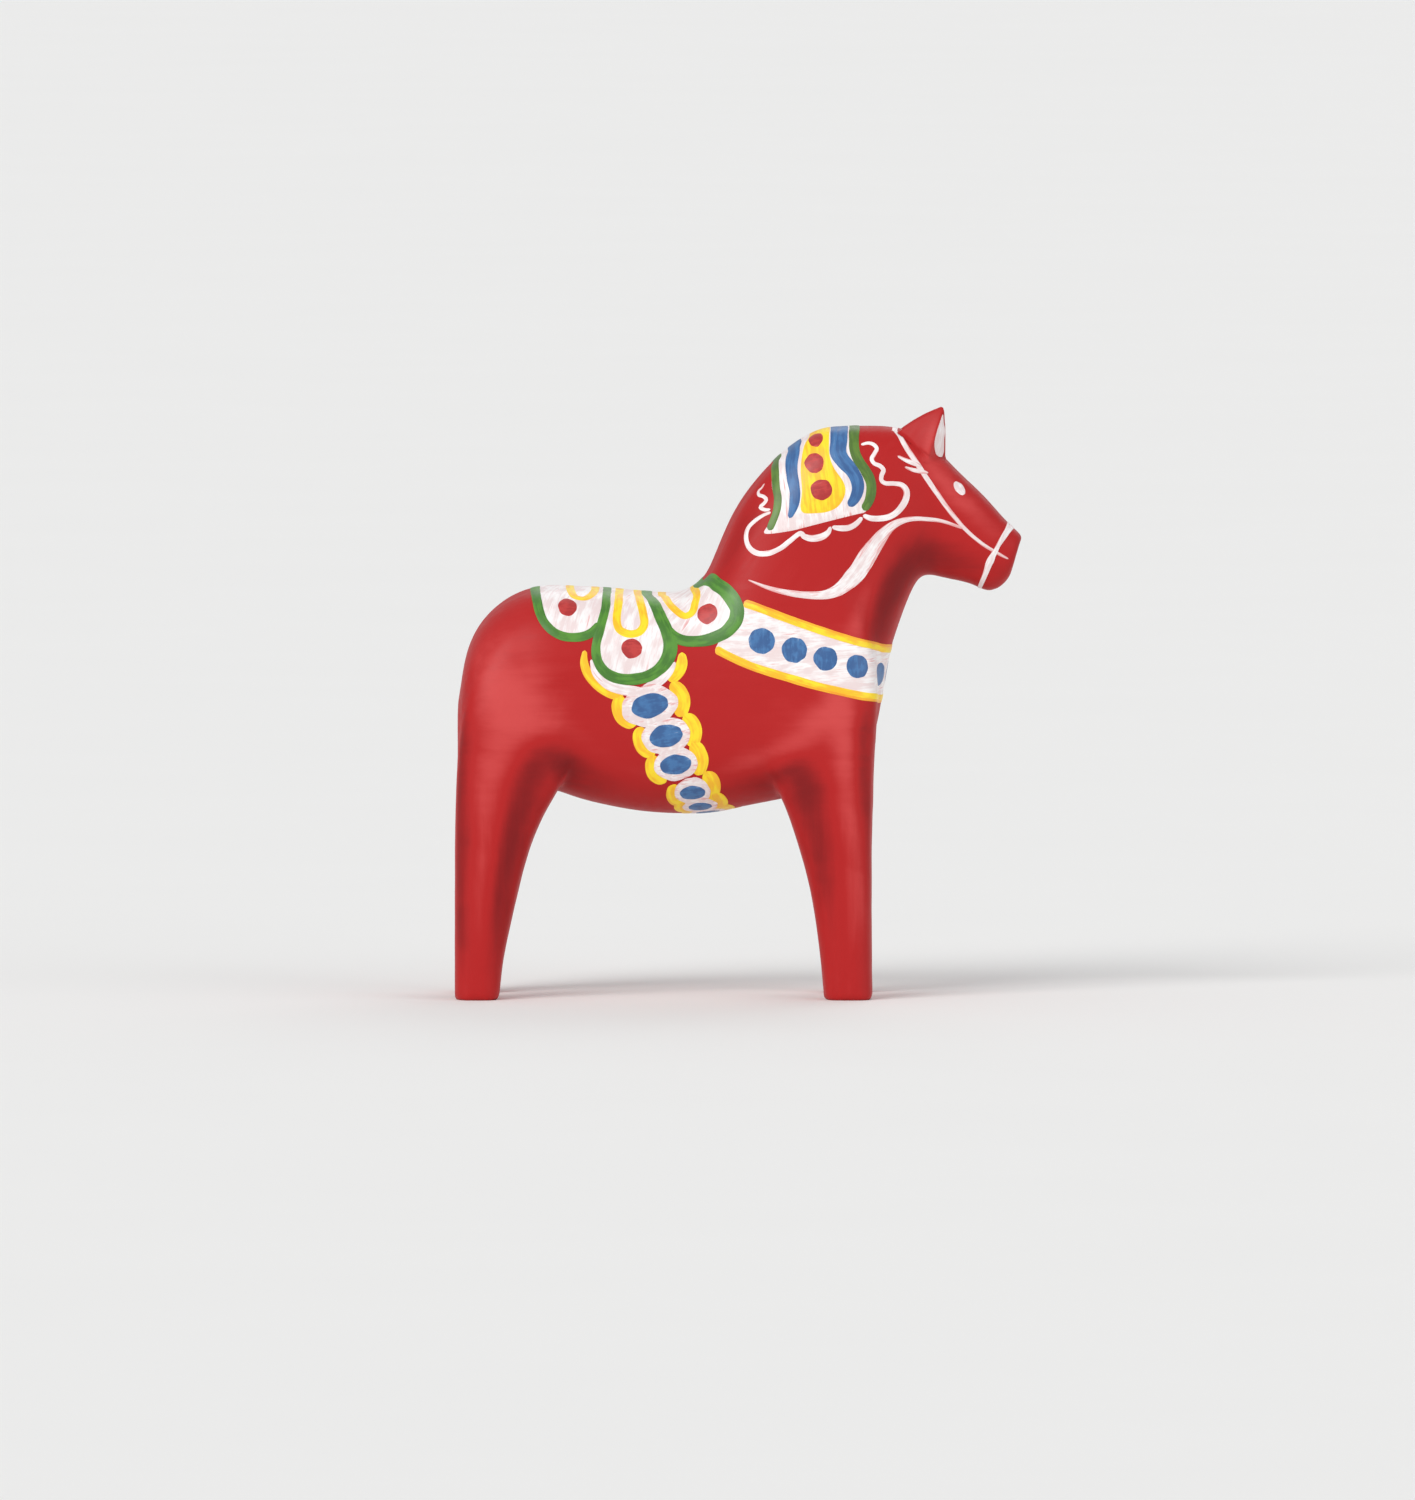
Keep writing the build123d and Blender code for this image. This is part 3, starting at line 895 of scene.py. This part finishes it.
def cut_stave(name, skin_mesh, skin):
    """One stave of the carved horse, painted outside and raw on its glue faces."""
    built = bmesh.new()
    built.from_mesh(skin_mesh)
    for point, normal in stave_planes(name):
        cut(built, point, normal)
    mesh = bpy.data.meshes.new(f"{name}_carved")
    built.to_mesh(mesh)
    built.free()
    mesh.materials.append(PAINTS["red_paint"])
    mesh.materials.append(PAINTS["bare_pine"])
    normals = np.zeros((len(mesh.loops), 3), np.float32)
    for face in mesh.polygons:
        for loop in face.loop_indices:
            if face.material_index:
                normals[loop] = face.normal
            else:
                corner = mesh.vertices[mesh.loops[loop].vertex_index].co
                spot, _, nearest, _ = skin.tree.find_nearest(corner)
                normals[loop] = skin.smooth_normal(spot, nearest)
    mesh.normals_split_custom_set(normals.tolist())
    made = add_object(f"{name}_carved", mesh)
    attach(made, BODY)
    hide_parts(name)


def flare_root(carving, head_skin, head_painted_light):
    """Flares an ear's root over the head.

    Returns how far each point merges with the head, and the head's normal and painted light and shade below
    it.
    """
    normals = carving.normals()
    merge = np.zeros(len(carving.points))
    below = np.zeros_like(carving.points)
    painted_light_below = np.zeros(len(carving.points))
    for k, point in enumerate(carving.points):
        spot, _, face, _ = head_skin.tree.find_nearest(Vector(point))
        up = head_skin.smooth_normal(spot, face)
        height = max(0.0, up.dot(Vector(point) - spot) / MM)
        outward = Vector(normals[k])
        outward -= up * up.dot(outward)
        share = max(0.0, 1 - height / EAR_FLARE) ** 2
        carving.points[k] += np.array(outward) * share * EAR_FLARE * MM
        merge[k] = 1 - soft_step(height, 0.0, EAR_BLEND)
        below[k] = up
        painted_light_below[k] = head_painted_light[head_skin.faces[face]].mean()
    return merge, below, painted_light_below


def carve_ear(side, head_skin, head_painted_light):
    """An ear, softened. Its root sinks into the head, and flares a little to meet it."""
    parts = [triangles_of(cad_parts[EARS[side]].data), ear_peg(side, *EAR_PLUG)]
    sink = np.array((EAR_SINK[0], side * EAR_SINK[1], EAR_SINK[2])) * MM
    parts += [(points + sink, triangles) for points, triangles in parts]
    carving = Carving(*remeshed(parts, EAR_VOXEL))
    carving.smooth(EAR_SMOOTH_PASSES)
    merge, below, painted_light_below = flare_root(carving, head_skin, head_painted_light)
    mesh = carving.mesh(f"{EARS[side]}_carved")
    # The ear's painted light and shade, blended into the head's towards its root.
    set_brushing_and_painted_light(mesh, carving.points, painted_light_and_shade(carving) * (1 - merge) + painted_light_below * merge)
    normals = carving.normals() * (1 - merge)[:, None] + below * merge[:, None]
    mesh.normals_split_custom_set_from_vertices(normals.tolist())
    mesh.materials.append(PAINTS["red_paint"])
    made = add_object(mesh.name, mesh)
    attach(made, BODY)
    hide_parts(EARS[side])
    return Skin(carving)


horse = carve_horse()
skin = Skin(horse)
# Painted light and shade for the red, over the whole horse.
horse_painted_light = painted_light_and_shade(horse)
skin_mesh = horse.mesh("skin")
set_brushing_and_painted_light(skin_mesh, horse.points, horse_painted_light)
for stave in STAVES:
    cut_stave(stave, skin_mesh, skin)
bpy.data.meshes.remove(skin_mesh)
ears = {side: carve_ear(side, skin, horse_painted_light) for side in (RIGHT, LEFT)}
for name in ("layer_dowels", "edge_dowels", "ear_pegs"):
    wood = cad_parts[name].data
    wood.materials.clear()
    wood.materials.append(PAINTS["bare_pine"])


# ---- Ornament, in millimetres on the right side and mirrored onto the left ----
barrel = Wrap(skin, (0, 0, 150), (1, 0, 0), (0, 0, 1), 48)
girth = Wrap(skin, (0, 0, 150), (1, 0, 0), (0, 0, -1), 48)
breast = Wrap(skin, (20, 0, 0), (0, 0, 1), (1, 0, 0), 50)
mane = Wrap(skin, (0, 0, 215), (4, 0, 1), (-1, 0, 4), 36)
head = Wrap(skin, (70, 0, 252), (7, 0, -3), (3, 0, 7), 17)


def widened(places, widths):
    """Anchors for a stroke: places with one width for all of them, or a width for each."""
    if not isinstance(widths, (tuple, list)):
        widths = [widths] * len(places)
    return [(u, v, width) for (u, v), width in zip(places, widths)]


def across_both(half):
    """A route over the middle plane, from a half that starts near it on the right side."""
    return mirrored(half[::-1]) + half


def round_both(half):
    """A closed route round both sides, from a right half that starts and ends near the middle plane."""
    return half + mirrored(half[::-1])


def paint_saddle():
    """Three petals on each side, white with green borders, yellow loops and red dots."""
    side, sides, ridge = barrel.side, barrel.sides, barrel.ridge
    rear = [ridge(-103.4, -8), *sides((-102.8, 203.5), (-100.8, 194.6), (-96.2, 187), (-89.3, 183),
            (-81.3, 182.4), (-74.4, 184.8), (-70, 189.4))]
    middle = [ridge(-66.8, -8), *sides((-67.1, 203.5), (-67.6, 197), (-70, 187.6), (-72.3, 178.2),
              (-71.8, 171.2), (-69, 166), (-64.4, 162.6), (-58.3, 161), (-51.4, 161.2), (-44.5, 163.2),
              (-38.6, 167.6), (-35.2, 173.6), (-34.7, 179.6), (-36.6, 186), (-40.2, 194), (-43.6, 201)),
              ridge(-46.4, -8)]
    front = [ridge(-20.6, -8), *sides((-16.4, 211), (-11, 209), (-5.4, 204.8), (-2, 200), (-0.7, 195.6),
             (-1.9, 190.2), (-6.2, 185.4), (-12.3, 182), (-19.2, 180.4), (-27.2, 180.6), (-33, 182.8),
             (-37.4, 187.4))]

    white = Film("saddle_white", "white_paint")
    white.patch(barrel, round_both([*rear, side(-68, 196), ridge(-66.6, -8)]), 0, 1.3)
    white.patch(barrel, round_both(middle), 0.1, 1.3)
    white.patch(barrel, round_both([ridge(-46, -8), side(-42, 198), *front[::-1]]), 0.2, 1.0)
    white.finish()

    green = Film("saddle_green", "green_paint")
    green.stroke(barrel, across_both(widened(rear, [5.0, 4.8, 4.6, 4.6, 4.8, 4.8, 4.8, 4.4])), 1)
    widths = [7.2, 7.2, 7.2, 7.4, 7.6, 7.6, 7.4, 6.8, 6.4, 6.2, 6.0, 6.0, 5.4]
    green.stroke(barrel, across_both(widened(front, widths)), 1.15)
    widths = [4.2, 4.2, 4.4, 4.6, 4.6, 4.8, 5.2, 5.4, 5.6, 5.8, 6.0, 6.6, 7.2, 7.2, 6.6, 6.2, 5.8, 5.4]
    green.stroke(barrel, round_both(widened(middle, widths)), 1.3, closed=True)
    green.finish()

    yellow = Film("saddle_yellow", "yellow_paint")
    loops = (
        [ridge(-85.6, -8), *sides((-84.3, 204), (-81.3, 202.3), (-77.2, 202.3), (-74.2, 204.4)),
         ridge(-73, -8)],
        [ridge(-60.6, -8), *sides((-61, 200), (-61.9, 192), (-61, 187), (-58.3, 184.8), (-54.2, 184),
         (-50.2, 185.2), (-48, 189.1), (-48.5, 194.6), (-50, 200.6)), ridge(-51.2, -8)],
        [ridge(-38.8, -8), *sides((-37.6, 203), (-35.6, 200), (-32.3, 196.4), (-27.7, 193.2),
         (-23.6, 195), (-22, 199.6), (-21.2, 204)), ridge(-22.6, -8)],
    )
    for loop in loops:
        yellow.stroke(barrel, round_both(widened(loop, 4.2)), 1, closed=True)
    yellow.finish()

    red = Film("saddle_dots", "dot_red_paint")
    red.dot_pair(barrel, side(-86.9, 198), (4.7, 6.4))
    red.dot_pair(barrel, side(-54.2, 176.7), (5.3, 5.2))
    red.dot_pair(barrel, side(-15.8, 194.6), (5.2, 5.9))
    red.finish()


# Yellow strokes beside each lobe of the girth, as (along, up, width): shares of the lobe's radii.
GIRTH_SCALLOPS = (
    ((-1.02, 0.50, 5.6), (-1.05, -0.05, 8.0), (-0.90, -0.58, 8.2), (-0.46, -0.94, 7.2)),
    ((0.74, 1.14, 6.4), (1.02, 0.70, 8.0), (1.13, 0.12, 8.2), (1.00, -0.56, 7.0)),
)
KEEL_SCALLOPS = (
    ((-0.95, 0.80, 6.0), (-1.05, 0.0, 8.0), (-0.95, -0.80, 6.0)),
    ((0.95, 0.80, 6.0), (1.10, 0.0, 8.0), (0.95, -0.80, 6.0)),
)
KEEL_OVAL, KEEL_CLOTH = (6.0, 4.6), (8.8, 8.4)


def paint_girth():
    """A band of scalloped lobes from the middle petals down and under the belly.

    A lobe is its place, the radii of its blue oval and of its white cloth, and its tilt.
    """
    side, keel = girth.side, girth.keel
    lobes = [(side(-45.1, 147.6), (9.3, 6.1), (14.6, 10.6), -0.2), (side(-36.8, 132.2), (8.5, 5.8),
             (12.5, 9.6), -0.2), (side(-31.9, 117.6), (7.8, 5.3), (11.0, 9.0), -0.14),
             (side(-23.3, 103.4), (6.4, 4.8), (9.0, 9.4), -0.1), ]
    (u, v), middle = lobes[-1][0], keel(-12)
    for share in (1 / 3, 2 / 3):
        place = (u + (middle[0] - u) * share, v * (1 - share))
        lobes.append((place, KEEL_OVAL, KEEL_CLOTH, -0.1))
    places = [(*lobe, flip) for lobe in lobes for flip in (1, -1)]
    places.append((middle, KEEL_OVAL, KEEL_CLOTH, 0.0, 1))
    yellow = Film("girth_yellow", "yellow_paint")
    white = Film("girth_white", "white_paint")
    blue = Film("girth_blue", "blue_paint")
    # Each stroke lies a little above the last one, so that paint which overlaps stays apart.
    for k, ((u, v), oval, cloth, tilt, flip) in enumerate(places):
        level = 0.06 * k
        for scallop in GIRTH_SCALLOPS if v else KEEL_SCALLOPS:
            level += 0.03
            edge = [(u + a * cloth[0], flip * (v - b * cloth[1]), width) for a, b, width in scallop]
            yellow.stroke(girth, edge, level)
        white.dot(girth, (u, v * flip), cloth, tilt * flip, 1.8 + 0.05 * (k // 2))
        blue.dot(girth, (u, v * flip), oval, tilt * flip, 3.0 + 0.05 * (k // 2))

    outer = [(-78, 175.6, 2.2), (-78.4, 169.9, 3.9), (-76.7, 164.4, 4.5), (-73.3, 159.7, 4.8),
             (-68.8, 155.9, 4.8), (-63.8, 153.4, 4.6), (-58.5, 152, 4.2)]
    inner = [(-74.8, 171, 1.4), (-73.2, 165.4, 3.4), (-70.4, 161.6, 4.4), (-66.4, 158.4, 5.0),
             (-61.4, 156.4, 5.4), (-55.4, 155.2, 5.4), (-48, 154.4, 4.6)]
    outer_front = [(-28.8, 174.6, 3.4), (-28.6, 169.4, 5.6), (-31.2, 164.4, 6.4), (-35.4, 160.2, 6.4)]
    inner_front = [(-32.2, 169.8, 1.4), (-34.8, 165.2, 3.6), (-38.8, 161.2, 4.6), (-43.4, 158, 5.2),
                   (-48.6, 154.8, 5.0)]
    crescents = (
        (yellow, 0, outer),
        (yellow, 0.1, outer_front),
        (white, 0.95, inner),
        (white, 1.05, inner_front),
    )
    for film, level, rows in crescents:
        route = [(*side(x, z), width) for x, z, width in rows]
        for anchors in (route, mirrored(route)):
            film.stroke(girth, anchors, level)
    for film in (yellow, white, blue):
        film.finish()


def paint_breast_band():
    """A white band with yellow edges and blue dots, from saddle to saddle round the chest."""
    side, sides, bow = breast.side, breast.sides, breast.bow
    top = [*sides((2.6, 199.2), (11.7, 196), (22.2, 192), (32.8, 188.2), (43.3, 184.6), (53.9, 181.2),
           (64.4, 178.4), (70.6, 177)), bow(177.4, -22), bow(176.6, -8)]
    bottom = [*sides((-11.6, 176.9), (-4.2, 173), (6.4, 168.3), (16.9, 164.8), (27.5, 161.7), (38, 158.6),
              (48.6, 156), (59.1, 153.8), (66, 152.6)), bow(153, -22), bow(152.4, -8)]
    white = Film("breast_band_white", "white_paint")
    white.patch(breast, top + mirrored(top[::-1]) + mirrored(bottom) + bottom[::-1], 0, 1.5)
    white.finish()
    amber = Film("breast_band_amber", "amber_paint")
    yellow = Film("breast_band_yellow", "yellow_paint")
    for edge, outward in ((top, 1), (bottom, -1)):
        outer = [(u + 0.9 * outward, v) for u, v in edge]
        amber.stroke(breast, across_both(widened(outer[::-1], 3.6)), 1)
        yellow.stroke(breast, across_both(widened(edge[::-1], 2.9)), 1.8)
    amber.finish()
    yellow.finish()
    blue = Film("breast_band_blue", "blue_paint")
    for x, z, radius in ((11.7, 180.4, 6.6), (28.3, 175.8, 6.5), (44.2, 171.5, 6.2), (60.6, 167.4, 5.9)):
        blue.dot_pair(breast, side(x, z), (radius, radius))
    chest_height = side(73, 163.8)[0]
    blue.dot_pair(breast, (chest_height, -21), (5.8, 8.2))
    blue.dot(breast, (chest_height, 0), (5.8, 6.2))
    blue.finish()


def paint_mane():
    """A striped cloth over the crest, inside a white scalloped line."""
    side, sides, ridge = mane.side, mane.sides, mane.ridge
    cloth = [ridge(18.8, -6), *sides((17.4, 269), (17, 259), (18.6, 250), (16.6, 242), (13.2, 235.2),
             (25, 236.2), (36.6, 239), (48.2, 242), (59.8, 244.9), (64.6, 246.4), (68, 252.6),
             (68.4, 260), (64.6, 268.4), (60.4, 275.4), (60.2, 283)), ridge(61, -6)]
    centre = [ridge(36, -6), *sides((33.2, 279), (31.6, 268), (32.2, 257), (31.4, 249), (33, 245.6),
              (39, 245.4), (45.3, 246.2), (50.6, 249), (54, 255), (53.4, 261), (48.4, 268.6), (46.2, 275),
              (46, 283)), ridge(46.6, -6)]
    white = Film("mane_cloth_white", "white_paint")
    white.patch(mane, round_both(cloth), 0, 1.4)
    white.finish()
    yellow = Film("mane_cloth_yellow", "yellow_paint")
    yellow.patch(mane, round_both(centre), 1, 1.4)
    yellow.finish()
    blue = Film("mane_cloth_blue", "blue_paint")
    rear = [ridge(28.6, -6), *sides((27.9, 277), (27.2, 272), (27, 267), (28, 260), (28.7, 255),
            (28, 249.4), (25.8, 243))]
    blue.stroke(mane, across_both(widened(rear, [8.2, 7.8, 7.2, 6.4, 5.8, 5.4, 4.8, 2.2])), 1)
    fore = [ridge(51.4, -6), *sides((50.8, 283), (50.5, 276.8), (53, 272.2), (57, 267.8), (59.9, 262.8),
            (60.6, 257.8), (59, 253), (56, 249))]
    blue.stroke(mane, across_both(widened(fore, [8.8, 8.6, 8.2, 7.8, 7.0, 6.6, 6.0, 5.4, 3.6])), 1)
    blue.finish()
    green = Film("mane_cloth_green", "mane_green_paint")
    rear = [ridge(19.8, -6), *sides((19, 272), (18.7, 266), (19.2, 258.3), (20, 252), (18.8, 245),
            (15.4, 236.8))]
    green.stroke(mane, across_both(widened(rear, [5.6, 5.2, 4.6, 4.2, 4.0, 3.9, 3.4])), 1)
    fore = [ridge(58.9, -6), *sides((58.6, 283.4), (59, 277), (61, 272.2), (64.3, 267.4), (66.8, 262.4),
            (67.4, 257.4), (66.4, 252), (63.4, 247))]
    green.stroke(mane, across_both(widened(fore, [5.2, 5.2, 5.2, 5.2, 5.2, 5.2, 5.0, 4.8, 4.0])), 1)
    green.finish()
    red = Film("mane_cloth_dots", "dot_red_paint")
    red.dot_pair(mane, side(39.2, 283.4), (3.8, 5.6), 2)
    red.dot_pair(mane, side(38.4, 271.2), (4.9, 5.6), 2)
    red.dot_pair(mane, side(42, 257.4), (5.5, 5.3), 2)
    red.finish()


SCALLOP = (
    ((62.2, 280.4, 1.4), (65.6, 281.2, 1.9), (68.4, 280.6, 2.1), (70.2, 278.4, 2.1), (68.9, 275.6, 2.2),
     (67.7, 273.2, 2.2), (68.9, 270.9, 2.0), (71.8, 269.6, 2.2), (73.6, 267.4, 2.3), (72.7, 264.8, 2.3),
     (72.6, 262.2, 2.2), (74.7, 260.7, 2.2), (79.1, 260.6, 2.3), (83, 259.8, 2.7), (85.4, 256.8, 3.2),
     (84.9, 252.4, 3.4), (82, 247.6, 3.2), (78.1, 244.4, 3.0), (73.3, 242.9, 2.9), (67.5, 242.8, 2.8),
     (63.2, 244.4, 2.0)),
    ((62.8, 243.4, 1.8), (59.6, 240, 2.8), (55.9, 238.1, 3.1), (51.4, 237.8, 2.9), (47.4, 238.4, 1.8)),
    ((46.8, 238.6, 1.4), (45.4, 235.6, 2.6), (42, 233.4, 3.5), (37.4, 232.6, 3.4), (33.4, 233.6, 2.8),
     (31.2, 235.2, 2.4), (26, 231.3, 2.5), (21.2, 227.6, 2.6), (15.4, 225.1, 2.8), (9.6, 225.1, 2.8),
     (5.2, 228.3, 2.6), (3.8, 233.2, 2.5), (4.9, 238, 2.4), (8.6, 241.8, 2.2), (12.5, 244.4, 1.9),
     (16.4, 246, 1.4)),
)
FORELOCK = (
    (16.2, 247.4, 1.2), (13.4, 247.2, 2.0), (11, 248.6, 2.0), (12.9, 250.4, 2.0), (14.1, 252.4, 2.0),
    (12.6, 254, 1.9), (10.4, 254.8, 1.9), (10.2, 256.8, 1.8), (11.8, 258.4, 1.5), (13.2, 260.6, 0.9),
)
NECK_CURL = (
    (4.9, 211.5, 0.7), (14.8, 207.6, 2.0), (25.5, 204.9, 3.0), (36.2, 203.7, 3.8), (45.4, 204.3, 4.8),
    (53.8, 208.8, 7.2), (60.8, 216.4, 9.4), (66.8, 225.6, 9.0), (72.9, 234, 6.4), (79.7, 240, 3.8),
    (88.2, 242.6, 2.5), (101.9, 241.8, 1.9), (114.1, 237.9, 1.3),
)
BRIDLE = (
    (79.8, 287.4, 2.7), (84.2, 280.8, 2.8), (88.7, 273.8, 2.9), (94.4, 265.2, 2.7), (101.6, 254.6, 2.4),
    (109.5, 244, 2.2), (114.9, 237.8, 2.0), (123.3, 230.4, 1.8), (132.5, 224.8, 1.5), (137.2, 222.3, 0.8),
)
BRIDLE_TIES = (
    ((80.8, 274.6, 1.2), (85.6, 272.2, 2.2), (89.6, 270.6, 2.4), (93, 269.2, 1.0)),
    ((84.4, 269, 0.9), (88.4, 267.6, 1.9), (92.6, 266.8, 2.2), (96.4, 266, 1.0)),
)
EAR_RISE, EAR_FRONT = (0.294, 0, 0.956), (0.956, 0, -0.294)
EAR_LEAF = (
    (103.8, 295.8), (102, 291), (100.4, 285.6), (99.5, 280.4), (100, 276.6), (102.4, 274.2), (104, 276),
    (104.4, 283), (104.5, 290),
)


def paint_lines():
    """The scalloped mane line, the neck curl, the bridle and the eyes, in white."""
    lines = Film("white_lines", "white_paint")
    for flank in (RIGHT, LEFT):
        flat = SideView(skin, flank)
        for scallop in SCALLOP:
            lines.stroke(flat, scallop, 0)
        lines.stroke(flat, FORELOCK, 0.2, dry_end=0.4)
        lines.stroke(flat, NECK_CURL, 0, dry_end=0.5, dry_start=0.6)
        for tie in BRIDLE_TIES:
            lines.stroke(flat, tie, 1, dry_end=0.4, dry_start=0.4)
    cheek = [(*head.side(x, z), width) for x, z, width in BRIDLE]
    poll = [(*head.ridge(79.2, -8), 2.7)]
    lines.stroke(head, across_both(poll + cheek), 0, dry_end=0.6, dry_start=0.6)
    muzzle = head.sides((135.5, 234.8), (130.9, 227.2), (127.9, 221.2), (125.6, 215.8))
    nose = [head.ridge(138.6, -4), *muzzle, head.keel(123, -4)]
    lines.stroke(head, round_both(widened(nose, [3.0, 3.0, 2.1, 3.7, 2.3, 1.3])), 1, closed=True)
    lines.finish()
    eyes = Film("eyes", "white_paint")
    for flank in (RIGHT, LEFT):
        eyes.dot(SideView(skin, flank), (112.3, 258.2), (4.0, 2.8), -0.85, 0)
    eyes.finish()


def paint_ears():
    """A white leaf on the front face of each ear."""
    leaves = Film("ear_leaves", "white_paint")
    charts = [
        Wrap(ear_skin, (95.5, flank * 9.5, 272), EAR_RISE, EAR_FRONT, 6) for flank, ear_skin in ears.items()
    ]
    leaf = charts[0].sides(*EAR_LEAF)
    leaves.patch(charts[0], leaf, 1)
    leaves.patch(charts[1], mirrored(leaf), 1)
    leaves.finish()


paint_saddle()
paint_girth()
paint_breast_band()
paint_mane()
paint_lines()
paint_ears()


# ---- Studio ----
CAMERA_DISTANCE = 15.0
CAMERA_SENSOR = 36.0
CAMERA_CLIP = 200.0
# The horse's share of the picture's height, and how far its middle is from the picture's.
HORSE_SHARE = 0.3930
HORSE_OFFSET = (0.0207, 0.0326)
FLOOR_RADIUS = 60.0
FLOOR_SIDES = 96
SKY = (0.95, 0.97, 1.0)
SKY_STRENGTH = 0.55
# Each far light's place, spread in degrees and strength.
LIGHTS = {
    "key": ((-1.0, -1.3, 1.3), 34, 1.7),
    "fill": ((1.5, -1.2, 0.7), 50, 0.6),
    "back": ((0.4, 1.4, 1.2), 40, 0.45),
}


def make_camera():
    """A long lens from the horse's right side, a little above level."""
    tall = (cad_high.z - cad_low.z) / HORSE_SHARE
    camera = bpy.data.cameras.new("camera")
    camera.sensor_width = CAMERA_SENSOR
    camera.lens = CAMERA_SENSOR * CAMERA_DISTANCE / tall
    camera.clip_end = CAMERA_CLIP
    made = add_object("camera", camera)
    middle = (cad_low + cad_high) / 2
    back = Vector((0, -math.cos(CAMERA_ELEVATION), math.sin(CAMERA_ELEVATION)))
    rise = Vector((0, math.sin(CAMERA_ELEVATION), math.cos(CAMERA_ELEVATION)))
    aim = middle - Vector((HORSE_OFFSET[0] * tall, 0, 0)) - rise * (HORSE_OFFSET[1] * tall)
    made.location = aim + back * CAMERA_DISTANCE
    made.rotation_mode = "QUATERNION"
    made.rotation_quaternion = (-back).to_track_quat("-Z", "Y")
    bpy.context.scene.camera = made


def make_floor():
    """A wide round floor."""
    built = bmesh.new()
    bmesh.ops.create_circle(built, cap_ends=True, cap_tris=True, segments=FLOOR_SIDES, radius=FLOOR_RADIUS)
    mesh = bpy.data.meshes.new("floor")
    built.to_mesh(mesh)
    built.free()
    mesh.materials.append(studio_floor())
    add_object("floor", mesh)


def far_light(name, place, spread, strength):
    """A wide light from far off, which lights the whole floor evenly, aimed at the middle of the horse."""
    light = bpy.data.lights.new(name, "SUN")
    light.angle = math.radians(spread)
    light.energy = strength
    made = add_object(name, light)
    made.location = place
    aim = (cad_low + cad_high) / 2 - Vector(place)
    made.rotation_mode = "QUATERNION"
    made.rotation_quaternion = aim.to_track_quat("-Z", "Y")


def light_studio():
    """A pale sky and three wide lights."""
    world = bpy.data.worlds.new("studio")
    world.use_nodes = True
    background = world.node_tree.nodes["Background"]
    background.inputs["Color"].default_value = (*SKY, 1.0)
    background.inputs["Strength"].default_value = SKY_STRENGTH
    bpy.context.scene.world = world
    for name, (place, spread, strength) in LIGHTS.items():
        far_light(name, place, spread, strength)
    bpy.context.scene.view_settings.view_transform = "Standard"


make_camera()
make_floor()
light_studio()
